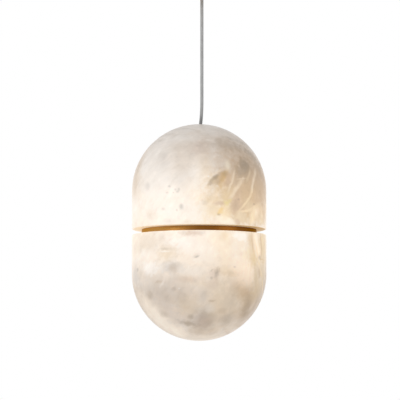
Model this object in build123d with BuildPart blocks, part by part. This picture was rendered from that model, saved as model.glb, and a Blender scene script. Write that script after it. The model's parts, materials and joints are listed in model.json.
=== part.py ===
"""Pendant light: two hollow alabaster halves that close on a brass band and hang on a cord.

Lengths are in millimetres and angles in degrees. The origin is the middle of the ceiling plate's
upper face, +Z points up, and +X points to the right when the light is seen from the front. The
cord hangs on the Z axis. The stone's own axis, the head axis, stands a little to the left of it.
"""

import os
from math import acos, asin, atan2, cos, degrees, hypot, pi, radians, sin, sqrt, tan

from build123d import *

os.makedirs("parts", exist_ok=True)

# Clearances
fixed_gap = 0.05  # around what is screwed, pressed or bonded into its hole
running_gap = 0.2  # between faces that turn or slide on each other
passing_gap = 0.5  # around what goes by without touching

# Stone halves
stone_radius = 100.0
stone_skirt = 57.0  # straight wall between a dome and its rim
stone_wall = 20.0
rim_round = 1.2
dome_cut = 40.0  # from the middle of the lower dome down to the cut between its two nodes
reveal_height = 8.5  # open gap between the two rims
reveal_depth = 14.5  # from the stone's face in to the brass band

# Hang
apex_drop = 229.0  # from the ceiling down to the top of the stone
head_offset = 4.0  # from the cord's line across to the head axis

# Cord and the balls on its two ends
cord_diameter = 4.8
upper_ball_drop = 22.0  # from the ceiling
lower_ball_depth = 36.0  # below the top of the stone
lean_top = 17.0  # the cord starts to lean this far above the top of the stone
lean_foot = 18.0  # and stands upright again this far below it
ball_diameter = 12.0
ball_lead_bore = 3.6
swing_limit = 10.0  # of the cord, to the left and right
rock_limit = 6.0  # of the stone on the lower ball

# Ceiling plate
plate_thickness = 2.5
ceiling_screw_spacing = 70.0
ceiling_slot_width = 5.5
ceiling_slot_length = 12.0
ear_width = 14.0
ear_height = 16.0
ear_gap = 3.3  # from an ear to the inside of the cup

# Ceiling cup and its side screws
cup_radius = 57.0
cup_height = 30.0
cup_wall = 1.2
cup_round = 6.0
ceiling_gap = 0.6
thumb_screw_diameter = 4.0
thumb_screw_drop = 8.0
thumb_screw_reach = 4.0  # inside its ear
thumb_head_diameter = 10.0
thumb_head_length = 6.0
knurl_count = 24
knurl_depth = 0.35

# Ball socket under the ceiling plate
socket_radius = 11.0
socket_flange_radius = 20.0
socket_flange_thickness = 3.0
nose_proud = 3.4  # below the cup
nose_round = 1.5
tail_slot_width = 7.0
tail_slot_depth = 6.5
socket_screw_diameter = 4.0
socket_screw_count = 3
plate_head_height = 2.4  # heads of the screws under the ceiling plate

# Electrical parts under the ceiling plate
driver_length = 56.0
driver_width = 20.0
driver_height = 16.0
driver_round = 2.0
driver_tab_length = 8.0
driver_tab_thickness = 2.0
terminal_pitch = 8.0
terminal_poles = 3
terminal_width = 16.0
terminal_height = 14.0
terminal_shift = -18.0  # along X
terminal_bore = 3.2
terminal_screw_diameter = 3.0
small_screw_diameter = 3.0  # holds the driver, the terminal block, the boards and the diffusers
earth_screw_shift = 14.0  # along X
earth_screw_inset = 8.0  # behind the plate's front edge
earth_screw_diameter = 4.0
supply_spot = (26.0, -26.0)
supply_hole_diameter = 13.0
grommet_wall = 1.5
lead_diameter = 1.8
lead_bend = 3.0
lead_depth = 9.5  # of the wires below the ceiling plate
tail_spread = 2.8  # between the cord's two tails

# Gland, swivel seat and tube
tube_diameter = 16.0
tube_bore = 10.0
seat_foot = 1.0  # lower face of the swivel seat above the ball's centre
seat_height = 5.3
gland_wall = 3.0
gland_roof = 3.0
gland_skirt = 24.0  # below the ball's centre
gland_flats = 19.0
tube_head = 8.0  # top of the tube below the ball's centre
nut_flats = 24.0
nut_height = 6.0
washer_radius = 15.0
washer_thickness = 1.5
tube_tail = 1.5  # tube past its lower nut
lead_window_height = 14.0
lead_window_width = 5.0

# Bush in the top of the stone
bush_wall = 1.5
bush_flange_radius = 12.0
bush_flange_thickness = 1.0
bush_inset = 1.0  # of the flange below the top of the stone
bush_foot_inset = 1.0  # of the lower end above the inside of the dome

# Band, core and bayonet
band_wall = 3.5
band_edge = 0.4  # small chamfer on the band's outer edges
ledge_width = 6.0
gasket_thickness = 0.5
gasket_inset = 0.5
core_flush = 0.25  # core's top face below the band's
lip_height = 4.5
lip_wall = 2.2
band_screw_diameter = 3.0
band_screw_head = 5.4
band_screw_count = 6
ring_overlap = 2.5  # of the band past the bowl ring
ring_height = 10.0
ring_inset = 0.35  # of the bowl ring below the lower rim
bayonet_count = 3
lug_thickness = 2.5
tab_thickness = 2.5
tab_reach = 3.8
tab_arc = 40.0
lug_arc = 36.0
stop_diameter = 2.0
stop_depth = 4.0

# Lamps
board_thickness = 1.6
board_bore = 30.0
led_size = (3.5, 2.8, 0.7)
led_rows = ((0.62, 24), (0.9, 36))  # share of the way from a board's bore to its edge, and count
board_screw_circle = 36.0
board_screw_count = 4
small_head_diameter = 5.5
small_head_height = 2.0
small_screw_grip = 5.0  # thread in the core
diffuser_wall = 1.5
diffuser_height = 10.0
diffuser_foot = 6.0
diffuser_screw_count = 3
connector_size = (7.0, 8.0, 5.0)
connector_circle = 46.0
lamp_lead_diameter = 2.4
lamp_lead_bend = 4.0

# Levels and radii that follow
head_x = -head_offset
head_axis = Axis((head_x, 0, 0), (0, 0, 1))
upper_ball_z = -upper_ball_drop
apex_z = -apex_drop
lower_ball_z = apex_z - lower_ball_depth
upper_rim_z = apex_z - stone_radius - stone_skirt
lower_rim_z = upper_rim_z - reveal_height
reveal_z = (upper_rim_z + lower_rim_z) / 2
stone_bore = stone_radius - stone_wall
cord_radius = cord_diameter / 2
ball_radius = ball_diameter / 2
ball_room = ball_radius + running_gap
hanging = (Align.CENTER, Align.CENTER, Align.MAX)
standing = (Align.CENTER, Align.CENTER, Align.MIN)


def head_level(level):
    """Level plane centred on the head axis."""
    return Plane(origin=(head_x, 0, level))


def head_section(level, turn=0.0):
    """Upright plane through the head axis: x runs out from the axis and y runs up."""
    across = cos(radians(turn))
    along = sin(radians(turn))
    return Plane(origin=(head_x, 0, level), x_dir=(across, along, 0), z_dir=(along, -across, 0))


def head_outward(level, turn):
    """Upright plane on the head axis that faces outwards: x runs round the axis and y runs up."""
    return head_section(level, turn + 90)


def cord_room(distance, tilt):
    """Radius that the cord needs at a distance from its ball when it tilts either way."""
    return cord_radius / cos(radians(tilt)) + distance * tan(radians(tilt)) + passing_gap


# Ceiling cup
cup_rim_z = -ceiling_gap
cup_floor_z = cup_rim_z - cup_height
nose_z = cup_floor_z - nose_proud
cup_bore = cup_radius - cup_wall
ear_face = cup_bore - ear_gap
plate_radius = ear_face - plate_thickness
thumb_screw_z = -thumb_screw_drop
thumb_screw_radius = thumb_screw_diameter / 2
thumb_slot_width = thumb_screw_diameter + 2 * running_gap

with BuildPart() as ceiling_cup:
    with BuildSketch(Plane.XY.offset(cup_rim_z)):
        Circle(cup_radius)
    extrude(amount=-cup_height)
    fillet(ceiling_cup.edges().group_by(Axis.Z)[0], cup_round)
    offset(amount=-cup_wall, openings=ceiling_cup.faces().sort_by(Axis.Z)[-1])
    with BuildSketch(Plane.XY.offset(cup_floor_z)):
        Circle(socket_radius + passing_gap)
    extrude(amount=cup_wall, mode=Mode.SUBTRACT)
    with BuildSketch(Plane.XZ):
        with Locations((0, thumb_screw_z)):
            Circle(thumb_slot_width / 2)
        with Locations((0, thumb_screw_z / 2)):
            Rectangle(thumb_slot_width, thumb_screw_drop)
    extrude(amount=cup_radius, both=True, mode=Mode.SUBTRACT)

# Ceiling plate
plate_foot = -plate_thickness
flange_foot = plate_foot - socket_flange_thickness
socket_screw_circle = (socket_radius + socket_flange_radius) / 2
socket_screw_radius = socket_screw_diameter / 2
small_screw_radius = small_screw_diameter / 2
driver_near = socket_flange_radius + passing_gap
driver_y = driver_near + driver_width / 2
driver_tab_x = (driver_length + driver_tab_length) / 2
driver_screw_spots = [(driver_tab_x, driver_y), (-driver_tab_x, driver_y)]
terminal_near = -(socket_flange_radius + passing_gap)
terminal_y = terminal_near - terminal_width / 2
terminal_length = terminal_pitch * (terminal_poles + 0.25)
terminal_poles_x = [
    terminal_shift + terminal_pitch * (pole - (terminal_poles - 1) / 2) for pole in range(terminal_poles)
]
terminal_fixing_spot = (terminal_shift + terminal_pitch / 2, terminal_y)
ceiling_slots = [(ceiling_screw_spacing / 2, 0), (-ceiling_screw_spacing / 2, 0)]
earth_screw_radius = earth_screw_diameter / 2
earth_screw_spot = (earth_screw_shift, earth_screw_inset - plate_radius)

with BuildPart() as ceiling_plate:
    with BuildSketch(Plane.XY):
        Circle(plate_radius)
        Rectangle(ear_width, 2 * ear_face)
        with Locations(*ceiling_slots):
            SlotOverall(ceiling_slot_length, ceiling_slot_width, mode=Mode.SUBTRACT)
        with PolarLocations(socket_screw_circle, socket_screw_count):
            Circle(socket_screw_radius + fixed_gap, mode=Mode.SUBTRACT)
        with Locations(*driver_screw_spots, terminal_fixing_spot):
            Circle(small_screw_radius + fixed_gap, mode=Mode.SUBTRACT)
        with Locations(earth_screw_spot):
            Circle(earth_screw_radius + fixed_gap, mode=Mode.SUBTRACT)
        with Locations(supply_spot):
            Circle(supply_hole_diameter / 2, mode=Mode.SUBTRACT)
    extrude(amount=plate_foot)
    with BuildSketch(Plane.XY):
        with Locations((0, ear_face - plate_thickness / 2), (0, plate_thickness / 2 - ear_face)):
            Rectangle(ear_width, plate_thickness)
    extrude(amount=-ear_height)
    with BuildSketch(Plane.XZ):
        with Locations((0, thumb_screw_z)):
            Circle(thumb_screw_radius + fixed_gap)
    extrude(amount=cup_radius, both=True, mode=Mode.SUBTRACT)

# Side screws of the cup, with knurled heads
with BuildPart() as cup_thumb_screws:
    for side in (1, -1):
        outward = Plane(origin=(0, 0, thumb_screw_z), z_dir=(0, side, 0))
        with BuildSketch(outward.offset(ear_face - plate_thickness - thumb_screw_reach)):
            Circle(thumb_screw_radius)
        extrude(amount=plate_thickness + thumb_screw_reach + ear_gap + cup_wall + running_gap)
        with BuildSketch(outward.offset(cup_radius + running_gap)):
            Circle(thumb_head_diameter / 2)
            with PolarLocations(thumb_head_diameter / 2, knurl_count):
                Circle(knurl_depth, mode=Mode.SUBTRACT)
        extrude(amount=thumb_head_length)

# Socket that carries the cord's upper ball
mouth_slope = tan(radians(swing_limit))
mouth_start = cord_room(0, swing_limit)
seat_break = (
    sqrt(ball_room**2 * (1 + mouth_slope**2) - mouth_start**2) - mouth_start * mouth_slope
) / (1 + mouth_slope**2)
seat_break_radius = mouth_start + seat_break * mouth_slope
seat_break_turn = degrees(atan2(seat_break, seat_break_radius))
nose_depth = upper_ball_z - nose_z

with BuildPart() as ball_socket:
    with BuildSketch(Plane.XZ):
        with BuildLine():
            Polyline(
                (ball_room, upper_ball_z),
                (ball_room, plate_foot),
                (socket_flange_radius, plate_foot),
                (socket_flange_radius, flange_foot),
                (socket_radius, flange_foot),
                (socket_radius, nose_z),
                (cord_room(nose_depth, swing_limit), nose_z),
                (seat_break_radius, upper_ball_z - seat_break),
            )
            CenterArc((0, upper_ball_z), ball_room, -seat_break_turn, seat_break_turn)
        make_face()
    revolve(axis=Axis.Z)
    fillet(ball_socket.edges().group_by(Axis.Z)[0].sort_by(SortBy.RADIUS)[-1], nose_round)
    with BuildSketch(Plane.XY.offset(plate_foot)):
        with Locations((0, socket_flange_radius / 2)):
            Rectangle(tail_slot_width, socket_flange_radius)
    extrude(amount=-tail_slot_depth, mode=Mode.SUBTRACT)
    with BuildSketch(Plane.XY.offset(flange_foot)):
        with PolarLocations(socket_screw_circle, socket_screw_count):
            Circle(socket_screw_radius + fixed_gap)
    extrude(amount=socket_flange_thickness, mode=Mode.SUBTRACT)

with BuildPart() as socket_screws:
    with BuildSketch(Plane.XY.offset(flange_foot)):
        with PolarLocations(socket_screw_circle, socket_screw_count):
            Circle(socket_screw_radius)
    extrude(amount=-flange_foot)
    with BuildSketch(Plane.XY.offset(flange_foot)):
        with PolarLocations(socket_screw_circle, socket_screw_count):
            RegularPolygon(socket_screw_diameter * 0.85, 6)
    extrude(amount=-plate_head_height)

# LED driver with a tab at each end
tab_foot = plate_foot - driver_tab_thickness

with BuildPart() as led_driver:
    with BuildSketch(Plane.XY.offset(plate_foot)):
        with Locations((0, driver_y)):
            Rectangle(driver_length, driver_width)
    extrude(amount=-driver_height)
    fillet(led_driver.edges().group_by(Axis.Z)[0], driver_round)
    with BuildSketch(Plane.XY.offset(plate_foot)):
        with Locations(*driver_screw_spots):
            Rectangle(driver_tab_length, driver_tab_length)
            Circle(small_screw_radius + fixed_gap, mode=Mode.SUBTRACT)
    extrude(amount=-driver_tab_thickness)

with BuildPart() as driver_screws:
    with BuildSketch(Plane.XY.offset(tab_foot)):
        with Locations(*driver_screw_spots):
            Circle(small_screw_radius)
    extrude(amount=-tab_foot)
    with BuildSketch(Plane.XY.offset(tab_foot)):
        with Locations(*driver_screw_spots):
            Circle(small_head_diameter / 2)
    extrude(amount=-plate_head_height)

# Terminal block, its wire screws and the screw that holds it
terminal_foot = plate_foot - terminal_height
wire_screw_rows = (terminal_y - terminal_width / 4, terminal_y + terminal_width / 4)
wire_screw_spots = [(x, y) for x in terminal_poles_x for y in wire_screw_rows]
wire_screw_radius = terminal_screw_diameter / 2
wire_z = plate_foot - lead_depth
wire_screw_length = wire_z - terminal_bore / 2 - terminal_foot

with BuildPart() as terminal_block:
    with BuildSketch(Plane.XY.offset(plate_foot)):
        with Locations((terminal_shift, terminal_y)):
            Rectangle(terminal_length, terminal_width)
        with Locations(terminal_fixing_spot):
            Circle(small_screw_radius + fixed_gap, mode=Mode.SUBTRACT)
    extrude(amount=-terminal_height)
    with BuildSketch(Plane.XY.offset(terminal_foot)):
        with Locations(*wire_screw_spots):
            Circle(wire_screw_radius + fixed_gap)
    extrude(amount=wire_screw_length, mode=Mode.SUBTRACT)
    with BuildSketch(Plane.XZ.offset(-terminal_near)):
        with Locations(*[(x, wire_z) for x in terminal_poles_x]):
            Circle(terminal_bore / 2)
    extrude(amount=terminal_width, mode=Mode.SUBTRACT)

with BuildPart() as terminal_screws:
    with BuildSketch(Plane.XY.offset(terminal_foot)):
        with Locations(*wire_screw_spots):
            Circle(wire_screw_radius)
    extrude(amount=wire_screw_length)

with BuildPart() as terminal_fixing_screw:
    with BuildSketch(Plane.XY.offset(terminal_foot)):
        with Locations(terminal_fixing_spot):
            Circle(small_screw_radius)
    extrude(amount=-terminal_foot)
    with BuildSketch(Plane.XY.offset(terminal_foot)):
        with Locations(terminal_fixing_spot):
            Circle(small_head_diameter / 2)
    extrude(amount=-plate_head_height)

with BuildPart() as earth_screw:
    with BuildSketch(Plane.XY.offset(plate_foot)):
        with Locations(earth_screw_spot):
            Circle(earth_screw_radius)
    extrude(amount=plate_thickness)
    with BuildSketch(Plane.XY.offset(plate_foot)):
        with Locations(earth_screw_spot):
            RegularPolygon(earth_screw_diameter, 6)
    extrude(amount=-plate_head_height)

# Rubber lining of the hole for the house wires
with BuildPart() as supply_grommet:
    with BuildSketch(Plane.XY.offset(plate_foot)):
        with Locations(supply_spot):
            Circle(supply_hole_diameter / 2 + grommet_wall)
    extrude(amount=-grommet_wall)
    with BuildSketch(Plane.XY.offset(plate_foot)):
        with Locations(supply_spot):
            Circle(supply_hole_diameter / 2 - fixed_gap)
    extrude(amount=plate_thickness)
    with BuildSketch(Plane.XY):
        with Locations(supply_spot):
            Circle(supply_hole_diameter / 2 - grommet_wall)
    extrude(amount=-(plate_thickness + grommet_wall), mode=Mode.SUBTRACT)

# Wires from the driver to the terminal block, and from the cord to the driver
lead_radius = lead_diameter / 2

with BuildPart() as driver_leads:
    with BuildSketch(Plane.XZ.offset(-terminal_near)):
        with Locations(*[(x, wire_z) for x in terminal_poles_x[:2]]):
            Circle(lead_radius)
    extrude(amount=terminal_near - driver_near)

with BuildPart() as cord_tails:
    for side in (1, -1):
        tail_x = side * tail_spread / 2
        tail_z = plate_foot - tail_slot_depth / 2
        with BuildLine():
            FilletPolyline(
                (tail_x, 0, upper_ball_z + ball_room + passing_gap),
                (tail_x, 0, tail_z),
                (tail_x, driver_near, tail_z),
                radius=lead_bend,
            )
        with BuildSketch(Plane.XY.offset(upper_ball_z + ball_room + passing_gap)):
            with Locations((tail_x, 0)):
                Circle(lead_radius)
        sweep()

# Cord: hangs straight, leans over just above the stone, and stands upright again in its ball
cord_route = [
    Vector(0, 0, upper_ball_z),
    Vector(0, 0, apex_z + lean_top),
    Vector(head_x, 0, apex_z - lean_foot),
    Vector(head_x, 0, lower_ball_z),
]
cord_runs = [after - before for before, after in zip(cord_route, cord_route[1:])]
bend_share = 0.45  # of the shorter run beside a bend
cord_bends = [
    bend_share * min(before.length, after.length) / tan(radians(before.get_angle(after)) / 2)
    for before, after in zip(cord_runs, cord_runs[1:])
]

with BuildPart() as pendant_cord:
    with BuildLine() as cord_line:
        FilletPolyline(*cord_route, radius=cord_bends)
    with BuildSketch(Plane.XY.offset(upper_ball_z)):
        Circle(cord_radius)
    sweep()

cord_length = sum(edge.length for edge in cord_line.edges())
cord_section = pi * cord_radius**2
print("cord bend radii", [round(bend, 1) for bend in cord_bends])
print("cord length", round(cord_length, 1))
print("cord volume over section times length", pendant_cord.part.volume / (cord_section * cord_length))

# Ball ferrules, each with a socket for the cord and a smaller bore for its wires
with BuildPart() as upper_ball:
    with Locations((0, 0, upper_ball_z)):
        Sphere(ball_radius)
        Cylinder(cord_radius + fixed_gap, ball_radius, align=hanging, mode=Mode.SUBTRACT)
        Cylinder(ball_lead_bore / 2, ball_radius, align=standing, mode=Mode.SUBTRACT)

with BuildPart() as lower_ball:
    with Locations((head_x, 0, lower_ball_z)):
        Sphere(ball_radius)
        Cylinder(cord_radius + fixed_gap, ball_radius, align=standing, mode=Mode.SUBTRACT)
        Cylinder(ball_lead_bore / 2, ball_radius, align=hanging, mode=Mode.SUBTRACT)

# Swivel seat that rides on the lower ball
tube_radius = tube_diameter / 2
seat_radius = tube_radius + fixed_gap - running_gap
seat_top = seat_foot + seat_height
throat_radius = cord_room(seat_top, rock_limit)
foot_turn = degrees(atan2(seat_foot, sqrt(ball_room**2 - seat_foot**2)))
throat_turn = degrees(acos(throat_radius / ball_room))

with BuildPart() as swivel_seat:
    with BuildSketch(head_section(lower_ball_z)):
        with BuildLine():
            Polyline(
                (ball_room * cos(radians(foot_turn)), seat_foot),
                (seat_radius, seat_foot),
                (seat_radius, seat_top),
                (throat_radius, seat_top),
                (throat_radius, ball_room * sin(radians(throat_turn))),
            )
            CenterArc((0, 0), ball_room, throat_turn, foot_turn - throat_turn)
        make_face()
    revolve(axis=head_axis)

# Gland that hangs on the swivel seat, with flats for a spanner
gland_radius = tube_radius + gland_wall
gland_shoulder = seat_top + running_gap
gland_top = gland_shoulder + gland_roof

with BuildPart() as gland_body:
    with BuildSketch(head_section(lower_ball_z)):
        with BuildLine():
            Polyline(
                (tube_radius + fixed_gap, -gland_skirt),
                (gland_radius, -gland_skirt),
                (gland_radius, gland_top),
                (cord_room(gland_top, rock_limit), gland_top),
                (cord_room(gland_top, rock_limit), gland_shoulder),
                (tube_radius + fixed_gap, gland_shoulder),
                close=True,
            )
        make_face()
    revolve(axis=head_axis)
    with BuildSketch(head_level(lower_ball_z - gland_skirt)):
        Circle(gland_radius)
        Rectangle(gland_flats, 2 * gland_radius, mode=Mode.SUBTRACT)
    extrude(amount=gland_skirt / 2, mode=Mode.SUBTRACT)

# Band in the reveal, with a ledge that carries the core
band_radius = stone_radius - reveal_depth
band_seat = band_radius - band_wall
band_bore = band_seat - ledge_width
band_height = reveal_height - 2 * gasket_thickness
band_top_z = reveal_z + band_height / 2
band_foot_z = reveal_z - band_height / 2
band_screw_circle = (band_bore + band_seat) / 2
band_screw_radius = band_screw_diameter / 2
band_sink_radius = band_screw_head / 2
band_sink_depth = band_sink_radius - band_screw_radius

with BuildPart() as brass_band:
    with BuildSketch(head_section(reveal_z)):
        with BuildLine():
            Polyline(
                (band_bore, -band_height / 2),
                (band_radius, -band_height / 2),
                (band_radius, band_height / 2),
                (band_seat, band_height / 2),
                (band_seat, 0),
                (band_bore, 0),
                close=True,
            )
        make_face()
    revolve(axis=head_axis)
    chamfer(brass_band.edges().filter_by(GeomType.CIRCLE).group_by(SortBy.RADIUS)[-1], band_edge)
    with Locations(head_level(band_foot_z)):
        with PolarLocations(band_screw_circle, band_screw_count):
            Cylinder(band_screw_radius + fixed_gap, band_height, align=standing, mode=Mode.SUBTRACT)
            Cone(
                band_sink_radius + fixed_gap,
                band_screw_radius + fixed_gap,
                band_sink_depth,
                align=standing,
                mode=Mode.SUBTRACT,
            )

# Core that carries the band, the lamps and the bayonet tabs
core_top = band_height / 2 - core_flush
lip_radius = stone_bore - passing_gap
lip_bore = lip_radius - lip_wall
tab_radius = band_bore - passing_gap
boss_radius = tab_radius - tab_reach
lug_top = -reveal_height / 2 - ring_inset
tab_top = lug_top - lug_thickness - running_gap
boss_foot = tab_top - tab_thickness
core_top_z = reveal_z + core_top
boss_foot_z = reveal_z + boss_foot
bayonet_turns = [360 * place / bayonet_count for place in range(bayonet_count)]
open_turn = 180 / bayonet_count  # from locked to free
lug_radius = boss_radius + passing_gap
stop_radius = stop_diameter / 2
stop_reach = tab_radius - passing_gap
stop_margin = degrees(asin((stop_radius + running_gap) / lug_radius))
stop_turns = [-lug_arc / 2 - stop_margin, open_turn + lug_arc / 2 + stop_margin]
stop_level = reveal_z + lug_top - lug_thickness / 2
diffuser_foot_radius = board_bore - passing_gap - diffuser_wall
diffuser_bore = diffuser_foot_radius - diffuser_foot
diffuser_screw_circle = diffuser_foot_radius - diffuser_foot / 2
core_sides = {"upper": (core_top_z, 1), "lower": (boss_foot_z, -1)}  # lamp face and the way it looks
screw_turns = {"upper": 0.0, "lower": 45.0}

with BuildPart() as core_plate:
    with BuildSketch(head_section(reveal_z)):
        with BuildLine():
            Polyline(
                (tube_radius + fixed_gap, boss_foot),
                (boss_radius, boss_foot),
                (boss_radius, 0),
                (band_seat - fixed_gap, 0),
                (band_seat - fixed_gap, core_top),
                (lip_radius, core_top),
                (lip_radius, core_top + lip_height),
                (lip_bore, core_top + lip_height),
                (lip_bore, core_top),
                (tube_radius + fixed_gap, core_top),
                close=True,
            )
        make_face()
    revolve(axis=head_axis)
    for turn in bayonet_turns:
        with BuildSketch(head_section(reveal_z, turn - tab_arc / 2)):
            with Locations((boss_radius - tab_reach, boss_foot)):
                Rectangle(2 * tab_reach, tab_thickness, align=(Align.MIN, Align.MIN))
        revolve(axis=head_axis, revolution_arc=tab_arc)
    with BuildSketch(head_level(reveal_z)):
        with PolarLocations(band_screw_circle, band_screw_count):
            Circle(band_screw_radius + fixed_gap)
    extrude(amount=core_top, mode=Mode.SUBTRACT)
    for side, (face_z, away) in core_sides.items():
        with BuildSketch(head_level(face_z)):
            with PolarLocations(board_screw_circle, board_screw_count, screw_turns[side]):
                Circle(small_screw_radius + fixed_gap)
            with PolarLocations(diffuser_screw_circle, diffuser_screw_count, screw_turns[side]):
                Circle(small_screw_radius + fixed_gap)
        extrude(amount=-away * small_screw_grip, mode=Mode.SUBTRACT)
    for turn in stop_turns:
        with BuildSketch(head_outward(stop_level, turn).offset(boss_radius - stop_depth)):
            Circle(stop_radius + fixed_gap)
        extrude(amount=2 * stop_depth, mode=Mode.SUBTRACT)

with BuildPart() as bayonet_stops:
    for turn in stop_turns:
        with BuildSketch(head_outward(stop_level, turn).offset(boss_radius - stop_depth)):
            Circle(stop_radius)
        extrude(amount=stop_reach - boss_radius + stop_depth)

with BuildPart() as band_screws:
    with Locations(head_level(band_foot_z)):
        with PolarLocations(band_screw_circle, band_screw_count):
            Cylinder(band_screw_radius, band_height / 2 + core_top, align=standing)
            Cone(band_sink_radius, band_screw_radius, band_sink_depth, align=standing)

# Stone halves. The lower one is three nodes that meet on flat rings, so that each is a simple hollow form
rebate_radius = band_radius - ring_overlap
rebate_depth = ring_inset + ring_height
cord_lean = head_offset * lean_foot / (lean_top + lean_foot)  # off the head axis, at the top of the stone
cord_sway = hypot(cord_lean, lower_ball_depth * tan(radians(rock_limit)))
bush_bore = cord_room(0, rock_limit) + cord_sway
bush_radius = bush_bore + bush_wall

with BuildPart() as upper_stone:
    with BuildSketch(head_section(upper_rim_z)):
        with BuildLine():
            Polyline(
                (stone_bore, stone_skirt),
                (stone_bore, 0),
                (stone_radius, 0),
                (stone_radius, stone_skirt),
            )
            CenterArc((0, stone_skirt), stone_radius, 0, 90)
            Line((0, stone_skirt + stone_radius), (0, stone_skirt + stone_bore))
            CenterArc((0, stone_skirt), stone_bore, 90, -90)
        make_face()
    revolve(axis=head_axis)
    fillet(upper_stone.edges().group_by(Axis.Z)[0].sort_by(SortBy.RADIUS)[-1], rim_round)
    with Locations(head_level(apex_z)):
        CounterBoreHole(
            bush_radius + fixed_gap,
            bush_flange_radius + fixed_gap,
            bush_inset + bush_flange_thickness,
            stone_wall + bush_radius,
        )

with BuildPart() as lower_skirt:
    with BuildSketch(head_section(lower_rim_z)):
        with BuildLine():
            Polyline(
                (stone_bore, -stone_skirt),
                (stone_bore, -rebate_depth),
                (rebate_radius, -rebate_depth),
                (rebate_radius, 0),
                (stone_radius, 0),
                (stone_radius, -stone_skirt),
                close=True,
            )
        make_face()
    revolve(axis=head_axis)
    fillet(lower_skirt.edges().group_by(Axis.Z)[-1].sort_by(SortBy.RADIUS)[-1], rim_round)

lower_dome_z = lower_rim_z - stone_skirt

with BuildPart() as lower_dome:
    with BuildSketch(head_section(lower_dome_z)):
        with BuildLine():
            Line((stone_bore, 0), (stone_radius, 0))
            CenterArc((0, 0), stone_radius, 0, -90)
            Line((0, -stone_radius), (0, -stone_bore))
            CenterArc((0, 0), stone_bore, -90, 90)
        make_face()
    revolve(axis=head_axis)

with BuildPart() as lower_shoulder:
    add(lower_dome)
    split(bisect_by=head_level(lower_dome_z - dome_cut), keep=Keep.TOP)

with BuildPart() as lower_base:
    add(lower_dome)
    split(bisect_by=head_level(lower_dome_z - dome_cut), keep=Keep.BOTTOM)

# Bush in the hole that the cord comes out of
bush_top = -bush_inset
bush_shoulder = bush_top - bush_flange_thickness
bush_foot = bush_foot_inset - stone_wall

with BuildPart() as top_bush:
    with BuildSketch(head_section(apex_z)):
        with BuildLine():
            Polyline(
                (bush_bore, bush_foot),
                (bush_radius, bush_foot),
                (bush_radius, bush_shoulder),
                (bush_flange_radius, bush_shoulder),
                (bush_flange_radius, bush_top),
                (bush_bore, bush_top),
                close=True,
            )
        make_face()
    revolve(axis=head_axis)

# Bayonet ring bonded into the mouth of the lower stone
ring_middle = (band_bore + rebate_radius) / 2

with BuildPart() as bowl_ring:
    with BuildSketch(head_level(lower_rim_z - ring_inset)):
        Circle(rebate_radius - fixed_gap)
        Circle(band_bore, mode=Mode.SUBTRACT)
    extrude(amount=-ring_height)
    for turn in bayonet_turns:
        with BuildSketch(head_section(reveal_z, turn - lug_arc / 2)):
            with Locations((lug_radius, lug_top)):
                Rectangle(ring_middle - lug_radius, lug_thickness, align=(Align.MIN, Align.MAX))
        revolve(axis=head_axis, revolution_arc=lug_arc)

# Silicone rings above and below the band
with BuildPart() as upper_gasket:
    with BuildSketch(head_level(band_top_z)):
        Circle(band_radius - gasket_inset)
        Circle(lip_radius + gasket_inset, mode=Mode.SUBTRACT)
    extrude(amount=gasket_thickness)

with BuildPart() as lower_gasket:
    with BuildSketch(head_level(band_foot_z)):
        Circle(band_radius - gasket_inset)
        Circle(rebate_radius + gasket_inset, mode=Mode.SUBTRACT)
    extrude(amount=running_gap - gasket_thickness)

# Tube between the gland and the core, with a nut and a washer on each side of the core
tube_top_z = lower_ball_z - tube_head
upper_nut_top = core_top_z + washer_thickness + nut_height
lower_nut_foot = boss_foot_z - washer_thickness - nut_height
tube_foot_z = lower_nut_foot - tube_tail
window_z = upper_nut_top + passing_gap + lead_window_height / 2
lead_turns = {"upper": 25.0, "lower": 205.0}

with BuildPart() as centre_tube:
    with BuildSketch(head_level(tube_foot_z)):
        Circle(tube_radius)
        Circle(tube_bore / 2, mode=Mode.SUBTRACT)
    extrude(amount=tube_top_z - tube_foot_z)
    with BuildSketch(head_outward(window_z, lead_turns["upper"])):
        Rectangle(lead_window_width, lead_window_height)
    extrude(amount=tube_diameter, mode=Mode.SUBTRACT)

with BuildPart() as tube_washers:
    for face_z, away in core_sides.values():
        with BuildSketch(head_level(face_z)):
            Circle(washer_radius)
            Circle(tube_radius + fixed_gap, mode=Mode.SUBTRACT)
        extrude(amount=away * washer_thickness)

with BuildPart() as tube_nuts:
    for face_z, away in core_sides.values():
        with BuildSketch(head_level(face_z + away * washer_thickness)):
            RegularPolygon(nut_flats / 2, 6, major_radius=False)
            Circle(tube_radius + fixed_gap, mode=Mode.SUBTRACT)
        extrude(amount=away * nut_height)

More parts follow.
